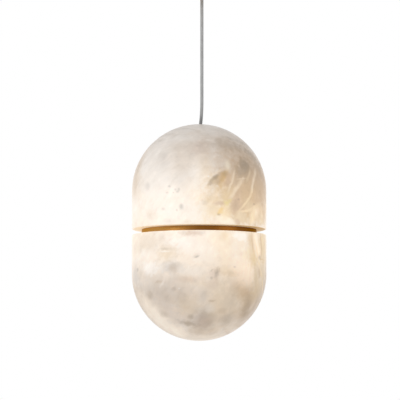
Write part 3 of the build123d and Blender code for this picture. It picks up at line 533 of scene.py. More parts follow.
UPPER_MARKS = (
    Mark(190, 148, 36, 24, Tone.BLUSH, 0.35),
    Mark(242, 156, 42, 44, Tone.FAWN, 0.5, lean=-25),
    Mark(223, 144, 20, 12, Tone.FAWN, 0.45),
    Mark(204, 147, 12, 14, Tone.FAWN, 0.25),
    Mark(236, 206, 60, 40, Tone.SAND, 0.75, kind=Kind.VEIN),
    Mark(246, 188, 44, 60, Tone.TAN, 0.85, soft=0.7, kind=Kind.VEIN),
    Mark(258, 172, 12, 42, Tone.FAWN, 0.85, lean=-10, kind=Kind.VEIN),
    Mark(213, 212, 22, 14, Tone.PEACH, 0.6, kind=Kind.VEIN),
    Mark(214, 212.5, 15, 9, Tone.SAND, 0.35, kind=Kind.VEIN),
    Mark(250, 219, 26, 11, Tone.WHEAT, 0.3, kind=Kind.VEIN),
    Mark(154, 160, 22, 36, Tone.FROST, 0.65),
    Mark(177, 139, 36, 8, Tone.FROST, 0.6, lean=6),
    Mark(200, 176, 16, 36, Tone.GLEAM, 0.2),
    Mark(200.5, 147.5, 18, 14, Tone.MAUVE, 0.3, kind=Kind.VEIN),
    Mark(228, 144.5, 32, 10, Tone.SMOKE, 0.25, lean=8, soft=0.7, kind=Kind.VEIN),
    Mark(210.8, 151, 3, 18, Tone.BLUSH, 0.4, kind=Kind.VEIN),
    Mark(182, 144, 22, 9, Tone.BLUSH, 0.3),
    Mark(153, 182, 24, 30, Tone.MILK, 0.7),
    Mark(161, 186, 34, 50, Tone.FROST, 0.3, kind=Kind.VEIN),
    Mark(170, 204, 64, 42, Tone.FROST, 0.25),
    Mark(179, 176, 18, 22, Tone.MIST, 0.3),
    Mark(190, 211, 44, 20, Tone.MILK, 0.5),
    Mark(206, 171, 13, 28, Tone.CREAM, 0.5, kind=Kind.VEIN),
    Mark(196, 173.5, 9, 22, Tone.FROST, 0.35, kind=Kind.VEIN),
    Mark(213, 199.5, 22, 9, Tone.SAND, 0.6),
    Mark(213, 209, 16, 9, Tone.SAND, 0.35),
    Mark(244.5, 168, 22, 27, Tone.FAWN, 0.5, lean=15),
    Mark(245.2, 166.5, 9, 14, Tone.SMOKE, 0.6, lean=12, soft=0.7, kind=Kind.VEIN),
    Mark(240.4, 173, 12, 10, Tone.SMOKE, 0.4, lean=15, soft=0.7, kind=Kind.VEIN),
    Mark(243.5, 169.5, 9, 17, Tone.SLATE, 0.22, lean=30, soft=0.7, kind=Kind.VEIN),
    Mark(219, 164, 12, 13, Tone.BLUSH, 0.4, lean=15, soft=0.6, kind=Kind.VEIN),
    Mark(228, 187, 12, 26, Tone.SAND, 0.6, lean=15, kind=Kind.VEIN),
    Mark(249, 192, 26, 34, Tone.TAN, 0.65, kind=Kind.VEIN),
    Mark(244, 201, 18, 18, Tone.TAN, 0.35, kind=Kind.VEIN),
    Mark(228, 197, 9, 18, Tone.WHEAT, 0.36, kind=Kind.VEIN),
    Mark(227.4, 165, 5, 9, Tone.IVORY, 0.85, kind=Kind.VEIN),
    *Stroke(
        ((207.5, 184.5), (212, 176.3), (217, 172.2), (222.5, 169)), 2.0, Tone.CREAM, 0.4, kind=Kind.CLEAR
    ).marks(),
    Mark(218.9, 177.8, 8.5, 17, Tone.FAWN, 0.85, lean=48, soft=0.4, kind=Kind.CLEAR),
    *Stroke(((209.2, 184), (213.2, 179.2), (218, 175.4)), 3.4, Tone.SMOKE, 0.56, 0.7, Kind.CLEAR).marks(),
    *Stroke(((209.6, 184.4), (214.4, 182.4), (220, 182.4)), 3, Tone.FAWN, 0.6).marks(),
    Mark(222.7, 178.6, 7.5, 15, Tone.AMBER, 0.62, lean=12, kind=Kind.VEIN),
    Mark(225.6, 175.6, 5, 5, Tone.AMBER, 0.35, kind=Kind.VEIN),
    Mark(225, 174.2, 4, 3, Tone.SMOKE, 0.3, kind=Kind.VEIN),
    Mark(215, 187, 14, 4, Tone.SAND, 0.5, lean=75, kind=Kind.VEIN),
    Mark(229, 180, 5.5, 14, Tone.TAN, 0.7, lean=20, kind=Kind.VEIN),
    Mark(229.4, 183, 4, 6, Tone.MAUVE, 0.3, lean=20, kind=Kind.VEIN),
    Mark(226.8, 181, 3.6, 12, Tone.MAUVE, 0.35, lean=18, kind=Kind.VEIN),
    Mark(225.5, 186, 5, 10, Tone.TAN, 0.35, lean=10, kind=Kind.VEIN),
    Mark(231.6, 186.5, 4, 10, Tone.TAN, 0.4, lean=20, kind=Kind.VEIN),
    Mark(238.5, 196, 6, 12, Tone.MAUVE, 0.4, lean=20, kind=Kind.VEIN),
    Mark(236.2, 182.4, 4.5, 9, Tone.FAWN, 0.65, lean=25, kind=Kind.VEIN),
    Mark(235.8, 204.8, 12, 15, Tone.MAUVE, 0.7, lean=-10, kind=Kind.VEIN),
    Mark(235, 206, 8, 8, Tone.SMOKE, 0.2, kind=Kind.VEIN),
    Mark(219.5, 203.2, 10, 3.6, Tone.MAUVE, 0.6, kind=Kind.VEIN),
    Mark(249, 205.5, 8, 8, Tone.SAND, 0.6, lean=30),
    Mark(260.5, 191, 7, 24, Tone.FAWN, 0.75, kind=Kind.VEIN),
    Mark(242, 203, 48, 40, Tone.WHEAT, 0.2, kind=Kind.VEIN),
    *Stroke(((237.5, 179.2), (241.5, 178.6), (245.5, 178.2)), 1.3, Tone.CREAM, 0.35).marks(),
    Mark(259.5, 213.5, 13, 15, Tone.PEACH, 0.75, soft=0.6),
    Mark(256, 212, 6, 8, Tone.BLOOM, 0.6, kind=Kind.VEIN),
    Mark(241, 217, 12, 10, Tone.SAND, 0.8, soft=0.5),
    Mark(237.4, 221, 5, 5, Tone.MAUVE, 0.45, soft=0.5),
    Mark(226, 220.4, 8, 18, Tone.IVORY, 1.0, lean=-72, soft=0.35, kind=Kind.VEIN),
    Mark(262.5, 222, 5, 7, Tone.WHEAT, 0.5, kind=Kind.VEIN),
    *Stroke(((234.8, 171), (233, 178), (230.6, 185), (228.4, 191.5)), 2.0, Tone.CREAM, 0.5).marks(),
    *Stroke(
        ((243.4, 179), (239.5, 184), (236, 189), (232.8, 194.5), (230, 199)), 3.2, Tone.CREAM, 0.45
    ).marks(),
    *Stroke(
        ((255.8, 170.5), (254.2, 177), (252.6, 184), (251.9, 190.5)), 1.9, Tone.CREAM, 0.8, kind=Kind.CLEAR
    ).marks(),
    *Stroke(((251.9, 190), (249.8, 197), (246.4, 202.2), (241, 208.8)), 1.7, Tone.PEACH, 0.6).marks(),
    *Stroke(((250.6, 170.5), (248.3, 177), (246.3, 181)), 1.7, Tone.SAND, 0.55).marks(),
    *Stroke(
        ((240.4, 211.8), (247, 210.7), (252.5, 208.8), (256.5, 206.4), (259.5, 204)), 2.2, Tone.PEACH, 0.65
    ).marks(),
    *Stroke(((254.4, 209.5), (253, 214.5), (252, 219.5), (251.4, 223.5)), 3.2, Tone.PEACH, 0.95).marks(),
    Mark(259.5, 218, 6, 11, Tone.SAND, 0.7, kind=Kind.VEIN),
    Mark(264, 214, 4, 20, Tone.TAN, 0.5, kind=Kind.VEIN),
    *Stroke(((224.4, 201.3), (227.5, 203.2), (231, 200)), 2.4, Tone.STRAW, 0.5).marks(),
    Mark(227.2, 204, 4, 6, Tone.STRAW, 0.55, kind=Kind.VEIN),
    Mark(225, 211.5, 9, 9, Tone.PEACH, 0.7),
    *Stroke(((222.6, 208.2), (220.2, 211.5), (218.4, 213.8)), 3.4, Tone.HONEY, 0.65).marks(),
    Mark(219.3, 214.6, 3, 1.8, Tone.SMOKE, 0.4, kind=Kind.FLECK),
    *Stroke(
        ((151, 143), (147.5, 153), (145, 164), (143.5, 174)), 6, Tone.FROST, 0.6, 0.9
    ).marks(),
    # painted shade: a grey line along the right edge of the dome, as it looks from the front
    *Stroke(((238, 138), (250, 150), (259, 166), (264.8, 186), (265.8, 203)), 3, Tone.ASH, 0.35, 0.9).marks(),
    Mark(163, 161, 10, 14, Tone.MIST, 0.35),
    Mark(147.6, 186, 5, 7, Tone.MIST, 0.5),
    # painted shade: a darker line along the left edge of the dome, as it looks from the front
    *Stroke(
        ((148, 147), (141.5, 158), (137, 170), (134.8, 184), (134, 198)), 6, Tone.FAWN, 0.35
    ).marks(),
    # painted shade: a grey line along the upper left edge of the dome, as it looks from the front
    *Stroke(((146, 150), (155, 141), (166, 133), (181, 127)), 3, Tone.ASH, 0.25).marks(),
    Mark(181, 166, 13, 12, Tone.FAWN, 0.06, soft=0.5, kind=Kind.VEIN),
    Mark(150, 214, 8, 8, Tone.BLUSH, 0.35),
    Mark(169.3, 220.2, 9, 5, Tone.MIST, 0.45),
    Mark(186.4, 221, 6, 3, Tone.BLUSH, 0.45),
    Mark(213.8, 219.6, 5, 5, Tone.BLUSH, 0.45, kind=Kind.VEIN),
    Mark(204.3, 202.6, 5, 4, Tone.ASH, 0.2, kind=Kind.VEIN),
    Mark(169.3, 186.3, 2.8, 2.4, Tone.SLATE, 0.34, kind=Kind.FLECK),
    Mark(175.4, 189.6, 2.4, 2.2, Tone.SLATE, 0.26, kind=Kind.FLECK),
    Mark(178.8, 189.2, 2.2, 2.6, Tone.SLATE, 0.28, kind=Kind.FLECK),
    Mark(177.2, 191.6, 2.8, 2.2, Tone.SLATE, 0.32, kind=Kind.FLECK),
    Mark(173.4, 192.6, 1.8, 1.4, Tone.SLATE, 0.3, kind=Kind.FLECK),
    Mark(167, 192.6, 2.5, 2.0, Tone.SLATE, 0.25, kind=Kind.FLECK),
    Mark(181.4, 206.8, 3.8, 6.4, Tone.SLATE, 0.4, kind=Kind.FLECK),
    Mark(176.7, 210.1, 1.8, 2.0, Tone.SLATE, 0.28, kind=Kind.FLECK),
    Mark(163.1, 208.9, 3.2, 2.6, Tone.SLATE, 0.28, kind=Kind.FLECK),
    Mark(254, 204.2, 2.0, 1.8, Tone.SMOKE, 0.45, kind=Kind.FLECK),
    Mark(238.8, 199.3, 1.8, 2.0, Tone.SMOKE, 0.4, kind=Kind.FLECK),
    Mark(208.4, 176.3, 1.4, 1.4, Tone.MILK, 0.9, kind=Kind.FLECK),
    Mark(225, 150, 40, 30, Tone.FAWN, 0.5, side=Side.RIGHT),
    Mark(176, 190, 30, 40, Tone.TAN, 0.6, lean=20, side=Side.RIGHT),
    Mark(208, 206, 30, 18, Tone.PEACH, 0.6, side=Side.RIGHT),
    *Stroke(
        ((206, 168), (202, 180), (196, 192), (186, 204)), 2.6, Tone.PEACH, 0.8, side=Side.RIGHT
    ).marks(),
    *Stroke(((226, 160), (221, 176), (213, 190), (204, 204)), 2.4, Tone.PEACH, 0.7, side=Side.RIGHT).marks(),
    Mark(230, 186, 10, 20, Tone.AMBER, 0.4, lean=20, side=Side.RIGHT),
    Mark(170, 160, 30, 34, Tone.FAWN, 0.6, lean=-15, side=Side.BACK),
    Mark(172, 166, 12, 14, Tone.SMOKE, 0.5, side=Side.BACK),
    Mark(225, 186, 34, 26, Tone.MILK, 0.6, side=Side.BACK),
    Mark(214, 214, 24, 10, Tone.BLUSH, 0.5, side=Side.BACK),
    Mark(190, 196, 5, 12, Tone.AMBER, 0.5, lean=-30, kind=Kind.VEIN, side=Side.BACK),
    *Stroke(((172, 172), (178, 186), (186, 198), (198, 207)), 2.4, Tone.PEACH, 0.75, side=Side.BACK).marks(),
    Mark(235, 200, 3.2, 3.0, Tone.SLATE, 0.5, kind=Kind.FLECK, side=Side.BACK),
    Mark(228, 208, 2.2, 2.0, Tone.SLATE, 0.4, kind=Kind.FLECK, side=Side.BACK),
    Mark(200, 172, 40, 30, Tone.BLUSH, 0.5, lean=30, side=Side.LEFT),
    Mark(215, 205, 30, 20, Tone.MILK, 0.6, side=Side.LEFT),
    Mark(180, 186, 16, 22, Tone.SAND, 0.5, lean=-25, side=Side.LEFT),
    Mark(188, 210, 3.0, 3.4, Tone.SLATE, 0.5, kind=Kind.FLECK, side=Side.LEFT),
)

LOWER_MARKS = (
    Mark(166, 292, 46, 28, Tone.FAWN, 0.32),
    Mark(162, 290, 26, 26, Tone.MIST, 0.3, kind=Kind.VEIN),
    Mark(186, 306, 20, 14, Tone.SAND, 0.35, kind=Kind.VEIN),
    Mark(222, 300, 24, 24, Tone.CREAM, 0.2),
    Mark(226, 304, 44, 50, Tone.PEACH, 0.26),
    Mark(222, 246, 28, 30, Tone.CREAM, 0.5),
    Mark(181, 243, 30, 13, Tone.MILK, 0.8),
    Mark(205, 250, 18, 18, Tone.MILK, 0.7),
    Mark(148, 243, 28, 17, Tone.BLUSH, 0.65, kind=Kind.VEIN),
    Mark(171, 267, 20, 11, Tone.MIST, 0.7, soft=0.7, kind=Kind.VEIN),
    Mark(175, 266.5, 10, 9, Tone.ASH, 0.25, kind=Kind.VEIN),
    Mark(150, 268.5, 17, 12, Tone.FROST, 0.8, soft=0.65, kind=Kind.VEIN),
    Mark(141, 249, 9, 12, Tone.SAND, 0.12, kind=Kind.VEIN),
    Mark(141, 274, 7, 9, Tone.BLUSH, 0.6, kind=Kind.VEIN),
    Mark(144.5, 254, 11, 9, Tone.FROST, 0.45, kind=Kind.VEIN),
    Mark(190, 271, 28, 9, Tone.MILK, 0.6, kind=Kind.VEIN),
    Mark(189, 279, 20, 5, Tone.MAUVE, 0.3, kind=Kind.VEIN),
    Mark(137, 280, 7, 18, Tone.MIST, 0.3, kind=Kind.VEIN),
    Mark(142.5, 303, 9, 22, Tone.GLEAM, 0.5, lean=-20, kind=Kind.VEIN),
    Mark(167, 252.5, 17, 17, Tone.BLUSH, 0.6, soft=0.7, kind=Kind.VEIN),
    Mark(167, 254, 15, 12, Tone.SAND, 0.4, kind=Kind.VEIN),
    Mark(237, 285, 15, 13, Tone.MAUVE, 0.3, kind=Kind.VEIN),
    Mark(246, 292.5, 16, 13, Tone.TAN, 0.8, kind=Kind.VEIN),
    Mark(247.5, 305, 13, 26, Tone.FAWN, 0.7),
    Mark(248, 303.5, 6, 16, Tone.SMOKE, 0.5, lean=-4, kind=Kind.VEIN),
    Mark(245.8, 314, 6, 9, Tone.SMOKE, 0.4, kind=Kind.VEIN),
    Mark(227.5, 271.5, 16, 9, Tone.SAND, 0.5, kind=Kind.VEIN),
    Mark(232.2, 274, 11, 5.5, Tone.FAWN, 0.55, kind=Kind.VEIN),
    Mark(239, 286, 9, 9, Tone.TAN, 0.35),
    Mark(247, 273, 19, 24, Tone.BLOOM, 0.65, kind=Kind.VEIN),
    Mark(241.5, 237, 12, 9, Tone.FROST, 0.85, soft=0.4, kind=Kind.VEIN),
    Mark(224, 235.5, 7, 9, Tone.SAND, 0.6),
    Mark(248.5, 254, 7, 11, Tone.STRAW, 0.2),
    Mark(252, 247, 7, 36, Tone.SAND, 0.7, soft=0.5, kind=Kind.VEIN),
    Mark(250, 239, 4, 10, Tone.TAN, 0.3, soft=0.6, kind=Kind.VEIN),
    Mark(262.5, 248, 8, 34, Tone.WHEAT, 0.75, kind=Kind.VEIN),
    *Stroke(((251.3, 233), (252.4, 245), (254.4, 258)), 1.7, Tone.TAN, 0.45, 0.6, Kind.CLEAR).marks(),
    *Stroke(((260.4, 234), (261.2, 246), (261.8, 257)), 1.5, Tone.TAN, 0.6, 0.6, Kind.CLEAR).marks(),
    *Stroke(((264.2, 238), (264, 251), (263.4, 264)), 1.5, Tone.TAN, 0.5, 0.6, Kind.CLEAR).marks(),
    Mark(262, 259.4, 5, 1.5, Tone.AMBER, 0.6, kind=Kind.VEIN),
    Mark(263, 262.4, 4, 1.3, Tone.AMBER, 0.45, kind=Kind.VEIN),
    # painted shade: a grey line along the right edge of the bowl, as it looks from the front
    *Stroke(((266, 262), (265.6, 276), (264, 290)), 2, Tone.ASH, 0.3).marks(),
    Mark(254.6, 260, 6, 13, Tone.WHEAT, 0.7, kind=Kind.VEIN),
    Mark(257.5, 289, 8, 22, Tone.WHEAT, 0.55, kind=Kind.VEIN),
    Mark(240, 284, 62, 110, Tone.APRICOT, 0.17),
    Mark(240, 264, 24, 26, Tone.BLOOM, 0.12),
    Mark(256, 293, 8, 26, Tone.BLOOM, 0.14, kind=Kind.VEIN),
    Mark(256.3, 275, 4.5, 20, Tone.SAND, 0.85, kind=Kind.VEIN),
    Mark(259.5, 272, 1.8, 10, Tone.TAN, 0.7, kind=Kind.VEIN),
    Mark(263, 272, 4, 18, Tone.SAND, 0.6),
    *Stroke(((255, 233.5), (256, 243), (257.6, 250), (258.8, 256)), 3.4, Tone.BLOOM, 0.6).marks(),
    Mark(259.2, 257.4, 3.0, 4, Tone.SMOKE, 0.4, kind=Kind.FLECK),
    Mark(203, 320.5, 18, 18, Tone.ASH, 0.5),
    Mark(203, 322, 14, 12, Tone.MAUVE, 0.35, kind=Kind.VEIN),
    Mark(188.8, 323.6, 14, 4.6, Tone.SMOKE, 0.5, lean=16, kind=Kind.VEIN),
    Mark(226, 320.5, 12, 12, Tone.SMOKE, 0.4),
    Mark(240, 321, 10, 6, Tone.BLUSH, 0.4),
    # painted light: a bright band along the lower left edge of the bowl, brighter than the stone's own colour
    *Stroke(
        ((144, 302), (152, 314), (162, 323), (174, 331), (184, 335)),
        12,
        Tone.GLEAM,
        0.65,
        0.9,
        Kind.CLOUD,
    ).marks(),
    # painted shade: a darker line along the lower right edge of the bowl, as it looks from the front
    *Stroke(
        ((265.5, 288), (261, 305), (252, 321), (238, 333), (222, 338.5)), 3, Tone.FAWN, 0.35, 0.9
    ).marks(),
    Mark(173.7, 269, 8, 8, Tone.FAWN, 0.4),
    Mark(178.2, 277, 7, 6, Tone.BLUSH, 0.4),
    Mark(149.9, 295.5, 6, 7, Tone.SMOKE, 0.3),
    Mark(159.6, 281.7, 7, 3, Tone.FAWN, 0.45, kind=Kind.VEIN),
    Mark(174, 289, 4, 4, Tone.SMOKE, 0.25, kind=Kind.VEIN),
    Mark(182, 298, 12, 10, Tone.SMOKE, 0.14, soft=0.6),
    Mark(164, 314.6, 6, 6, Tone.SMOKE, 0.3),
    Mark(189.8, 317.2, 5, 4, Tone.SMOKE, 0.35),
    Mark(210, 308, 10, 8, Tone.FROST, 0.4, kind=Kind.VEIN),
    Mark(204.5, 297, 9, 11, Tone.MIST, 0.4),
    Mark(214, 302, 12, 30, Tone.CREAM, 0.25, kind=Kind.VEIN),
    Mark(203, 332, 22, 8, Tone.FAWN, 0.35, kind=Kind.VEIN),
    Mark(213.8, 285, 9, 8, Tone.MAUVE, 0.25),
    Mark(223, 310.8, 7, 5, Tone.FAWN, 0.4),
    Mark(232.8, 307, 5, 6, Tone.CREAM, 0.4),
    Mark(231, 300, 26, 24, Tone.SAND, 0.25, kind=Kind.VEIN),
    Mark(229, 300, 14, 20, Tone.BLUSH, 0.3, kind=Kind.VEIN),
    Mark(214.6, 274, 10, 11, Tone.MAUVE, 0.35, kind=Kind.VEIN),
    Mark(216.6, 273, 3.4, 7.5, Tone.ASH, 0.6, lean=12, kind=Kind.VEIN),
    Mark(211.2, 278.2, 3, 2.4, Tone.ASH, 0.4, kind=Kind.VEIN),
    Mark(212, 270.3, 1.4, 5, Tone.ASH, 0.4, lean=50, kind=Kind.VEIN),
    Mark(211.9, 300.8, 5, 2, Tone.FAWN, 0.5, kind=Kind.VEIN),
    Mark(192.5, 233, 17, 5, Tone.MAUVE, 0.6, kind=Kind.VEIN),
    Mark(202, 232.8, 4, 2, Tone.MIST, 0.5, kind=Kind.VEIN),
    Mark(161.8, 237, 6, 5, Tone.BLUSH, 0.5, kind=Kind.VEIN),
    Mark(165, 249, 9, 2.2, Tone.ASH, 0.3, kind=Kind.VEIN),
    Mark(165, 251.4, 9, 1.6, Tone.MILK, 0.7, kind=Kind.VEIN),
    Mark(162.5, 283, 1.6, 8, Tone.MILK, 0.45, lean=35, kind=Kind.VEIN),
    Mark(196.3, 255.8, 3.4, 6.5, Tone.ASH, 0.25, lean=60, kind=Kind.VEIN),
    Mark(197, 256.6, 1.4, 4, Tone.SLATE, 0.4, lean=65, kind=Kind.FLECK),
    Mark(137.3, 269.8, 1.6, 4, Tone.SLATE, 0.4, kind=Kind.FLECK),
    Mark(179, 288.4, 1.4, 1.4, Tone.MILK, 0.8, kind=Kind.FLECK),
    Mark(235, 266.8, 2.2, 1.8, Tone.SLATE, 0.3, kind=Kind.FLECK),
    Mark(190, 300, 44, 40, Tone.FAWN, 0.45, side=Side.RIGHT),
    Mark(215, 262, 26, 22, Tone.PEACH, 0.6, side=Side.RIGHT),
    Mark(178, 258, 14, 30, Tone.SAND, 0.6, lean=10, side=Side.RIGHT),
    *Stroke(((160, 240), (166, 262), (176, 280), (190, 294)), 2.4, Tone.PEACH, 0.7, side=Side.RIGHT).marks(),
    Mark(222, 306, 14, 16, Tone.SMOKE, 0.45, side=Side.RIGHT),
    Mark(185, 300, 42, 34, Tone.FAWN, 0.45, side=Side.BACK),
    Mark(210, 322, 20, 14, Tone.SMOKE, 0.45, side=Side.BACK),
    Mark(222, 262, 30, 22, Tone.MILK, 0.6, side=Side.BACK),
    Mark(176, 254, 20, 16, Tone.BLUSH, 0.45, side=Side.BACK),
    *Stroke(((196, 262), (203, 276), (207, 290)), 2.2, Tone.CREAM, 0.6, side=Side.BACK).marks(),
    Mark(188, 268, 3.4, 3.0, Tone.SLATE, 0.5, kind=Kind.FLECK, side=Side.BACK),
    Mark(206, 298, 46, 30, Tone.FAWN, 0.4, side=Side.LEFT),
    Mark(190, 256, 26, 18, Tone.MILK, 0.7, side=Side.LEFT),
    Mark(222, 270, 12, 16, Tone.MIST, 0.5, side=Side.LEFT),
)


class Flow(Enum):
    """The coordinates that a layer follows: the object's own, rippled, or rippled and drifting."""

    STILL = "still"
    RIPPLED = "rippled"
    DRIFTED = "drifted"


@dataclass(frozen=True)
class Layer:
    """One tint that wanders over the stone, where a noise runs between two values.

    A ridge follows the noise's middle value as a line instead, and its two values are distances from
    that middle.
    """

    tone: Tone
    share: float
    scale: float  # waves to a metre
    detail: float  # octaves
    start: float  # value where the tint begins
    full: float  # value where it has its whole share
    flow: Flow = Flow.DRIFTED
    ridge: bool = False
    warm_only: bool = False  # lies only inside the warm clouds

    def cover(self, sheet: Coat, places: dict[Flow, Socket]) -> Field:
        """How much of the tint a point takes.

        Args:
            sheet: the node sheet.
            places: sockets of the coordinates, by flow.

        Returns:
            A field from 0 to 1.
        """
        noise = sheet.noise(self.scale, self.detail, places[self.flow])
        run = abs(noise - MIDDLE) if self.ridge else noise
        return run.fade(self.start, self.full)


GROUND_LAYERS = (
    Layer(Tone.BLUSH, 0.4, 62.0, 5.0, 0.5, 0.7),
    Layer(Tone.MILK, 0.4, 62.0, 5.0, 0.48, 0.3),
    Layer(Tone.MIST, 0.28, 120.0, 4.0, 0.52, 0.72),
    Layer(Tone.MILK, 0.3, 13.0, 3.0, 0.05, 0.0, ridge=True),
)
WARM_CLOUDS = Layer(Tone.TAN, 0.6, 9.0, 4.0, 0.5, 0.6)
BACK_LAYERS = (
    WARM_CLOUDS,
    Layer(Tone.FAWN, 0.55, 15.0, 5.0, 0.52, 0.66),
    Layer(Tone.FROST, 0.6, 21.0, 5.0, 0.52, 0.62, Flow.RIPPLED),
    Layer(Tone.SMOKE, 0.5, 27.0, 5.0, 0.6, 0.7, Flow.RIPPLED),
    Layer(Tone.AMBER, 0.55, 33.0, 4.0, 0.6, 0.7, Flow.RIPPLED, warm_only=True),
    Layer(Tone.PEACH, 0.85, 12.0, 2.0, 0.014, 0.0, ridge=True, warm_only=True),
    Layer(Tone.CREAM, 0.4, 19.0, 2.0, 0.016, 0.0, ridge=True),
    Layer(Tone.SLATE, 0.5, 105.0, 1.0, 0.72, 0.77, Flow.STILL),
)


@dataclass(frozen=True)
class Finish:
    """A named finish. The kinds below paint it."""

    name: str

    def material(self) -> bpy.types.Material:
        """Makes the finish's material.

        Returns:
            The painted material.
        """
        sheet = Coat(self.name)
        self.paint(sheet)
        return sheet.material

    def paint(self, sheet: Coat) -> None:
        """Feeds the shader. Each kind of finish has its own way."""
        raise NotImplementedError


@dataclass(frozen=True)
class Alabaster(Finish):
    """Lit alabaster: placed clouds, veins and flecks over drifting tints, with a glow from the reveal."""

    marks: tuple[Mark, ...]
    tints: tuple[tuple[float, Colour], ...]  # from the reveal, 0, to the far end of the half, 1
    glow: tuple[tuple[float, Colour], ...]  # the same way
    pill: Pill = Pill()
    half_height: float = 161.25 * MM
    drift_scale: float = 24.0
    drift_reach: float = 10.0 * MM
    ripple_scale: float = 130.0
    ripple_reach: float = 3.0 * MM
    swell_scale: float = 16.0  # of the noise that moves the tints up and down
    swell_detail: float = 4.0
    swell_reach: float = 0.22  # as a share of the half's height
    wide_tear: Triple = (46.0, 6.0, 0.65)  # scale, detail and reach of the noise that tears an edge
    fine_tear: Triple = (170.0, 4.0, 0.69)
    clear_share: float = 0.3  # of the fine tear that is left on a clear mark
    mark_span: float = 2.6  # reach of a mark, with its soft and torn edge, as a multiple of its size
    away: tuple[float, float] = (-15.0 * MM, 60.0 * MM)  # from the front, where the marks are, to the back
    streak_turn: Triple = (0.5, 0.65, 0.0)
    streak_stretch: Triple = (1.0, 1.0, 2.2)
    streak_scale: float = 110.0
    streak_detail: float = 5.0
    streak_light: float = 1.22
    streak_dark: Colour = (0.80, 0.78, 0.75)
    streak_lit: Triple = (0.52, 0.7, 0.28)  # noise where a light streak begins and is full, and its share
    streak_dim: Triple = (0.48, 0.3, 0.26)  # the same of a dark one
    rim_lit_tint: Colour = (0.86, 0.72, 0.54)  # painted shade of the rim, lighter at the left end of the reveal
    rim_shaded_tint: Colour = (0.60, 0.42, 0.21)  # painted shade of the rim, darkest at the right end
    rim_edge: tuple[float, float] = (0.4 * MM, 3.0 * MM)  # inwards from the outside, where its painted shade grows
    rim_level: tuple[float, float] = (0.03, 0.027)  # as a share of the half's height
    body_share: float = 0.6  # of a tint that is the stone's own colour in plain light
    polish: float = 0.42
    grain_scale: float = 420.0
    grain_detail: float = 4.0
    grain_polish: float = 0.16  # change of the polish with the grain
    grain_bump: float = 0.12
    grain_depth: float = 0.15 * MM
    gloss: float = 0.22
    refraction: float = 1.52

    def paint(self, sheet: Coat) -> None:
        """Feeds the shader with the stone's pattern, its glow and its polish.

        Args:
            sheet: the node sheet.
        """
        rippled = sheet.shifted(self.ripple_scale, self.ripple_reach)
        drifted = sheet.shifted(self.drift_scale, self.drift_reach, rippled)
        places = {Flow.STILL: sheet.place, Flow.RIPPLED: rippled, Flow.DRIFTED: drifted}
        wide_tear = self.tear(sheet, self.wide_tear, rippled)
        fine_tear = self.tear(sheet, self.fine_tear, sheet.place)
        ways = {
            Kind.CLOUD: (drifted, wide_tear),
            Kind.VEIN: (rippled, fine_tear),
            Kind.CLEAR: (rippled, self.clear_share * fine_tear),
            Kind.FLECK: (sheet.place, fine_tear),
        }
        level = self.level(sheet)
        tint = self.ground(sheet, level, places)
        tint = self.wander(sheet, tint, places)
        for mark in self.marks:
            tint = self.lay(sheet, tint, mark, *ways[mark.kind])
        tint = self.streak(sheet, tint, rippled)
        tint = self.shade_rim(sheet, tint, level)
        grain = sheet.noise(self.grain_scale, self.grain_detail)
        body = sheet.mix(1.0, tint, (self.body_share,) * 3, "MULTIPLY")
        light = sheet.node("ShaderNodeValToRGB", {"stops": self.glow}, {0: level})
        shine = sheet.mix(1.0, tint, light.outputs[0], "MULTIPLY")
        sheet.feed(
            sheet.shader,
            {
                "Base Color": body,
                "Roughness": self.polish + self.grain_polish * (grain - MIDDLE),
                "Emission Color": shine,
                "Emission Strength": 1.0,
                "Specular IOR Level": self.gloss,
                "IOR": self.refraction,
            },
        )
        sheet.bump(grain, self.grain_bump, self.grain_depth)

    @staticmethod
    def tear(sheet: Coat, sizes: Triple, place: Socket) -> Field:
        """How far a mark's edge is pushed in or out, by a noise's scale, detail and reach."""
        scale, detail, reach = sizes
        return reach * (sheet.noise(scale, detail, place) - MIDDLE)

    def level(self, sheet: Coat) -> Field:
        """How far a point lies from the reveal, as a share of the half's height."""
        _, _, height = sheet.parts()
        return abs(height - self.pill.reveal_z) * (1 / self.half_height)

    def ground(self, sheet: Coat, level: Field, places: dict[Flow, Socket]) -> Socket:
        """Lays the drifting tints under the marks.

        Args:
            sheet: the node sheet.
            level: how far a point lies from the reveal.
            places: sockets of the coordinates, by flow.

        Returns:
            The socket of the ground colour.
        """
        swell = sheet.noise(self.swell_scale, self.swell_detail, places[Flow.DRIFTED])
        moved = level + self.swell_reach * (swell - MIDDLE)
        tint = sheet.node("ShaderNodeValToRGB", {"stops": self.tints}, {0: moved}).outputs[0]
        for layer in GROUND_LAYERS:
            tint = sheet.mix(layer.share * layer.cover(sheet, places), tint, layer.tone.value)
        return tint

    def wander(self, sheet: Coat, tint: Socket, places: dict[Flow, Socket]) -> Socket:
        """Lays wandering clouds, veins and flecks at the sides and the back, where few marks are placed.

        Args:
            sheet: the node sheet.
            tint: socket of the colour so far.
            places: sockets of the coordinates, by flow.

        Returns:
            The socket of the new colour.
        """
        _, along, _ = sheet.parts()
        away = along.fade(*self.away)
        warm = WARM_CLOUDS.cover(sheet, places) * away
        for layer in BACK_LAYERS:
            inside = warm if layer.warm_only else away
            cover = layer.cover(sheet, places) * inside
            tint = sheet.mix(layer.share * cover, tint, layer.tone.value)
        return tint

    def streak(self, sheet: Coat, tint: Socket, rippled: Socket) -> Socket:
        """Draws the fine slanting streaks of the stone's crystals over a tint.

        Args:
            sheet: the node sheet.
            tint: socket of the colour so far.
            rippled: coordinates pushed about by the stone's ripples.

        Returns:
            The socket of the new colour.
        """
        sockets = {"Vector": rippled, "Rotation": self.streak_turn, "Scale": self.streak_stretch}
        slanted = sheet.node("ShaderNodeMapping", {"vector_type": "TEXTURE"}, sockets).outputs[0]
        streak = sheet.noise(self.streak_scale, self.streak_detail, slanted)
        tint = sheet.mix(streak.fade(*self.streak_lit), tint, (self.streak_light,) * 3, "MULTIPLY")
        return sheet.mix(streak.fade(*self.streak_dim), tint, self.streak_dark, "MULTIPLY")

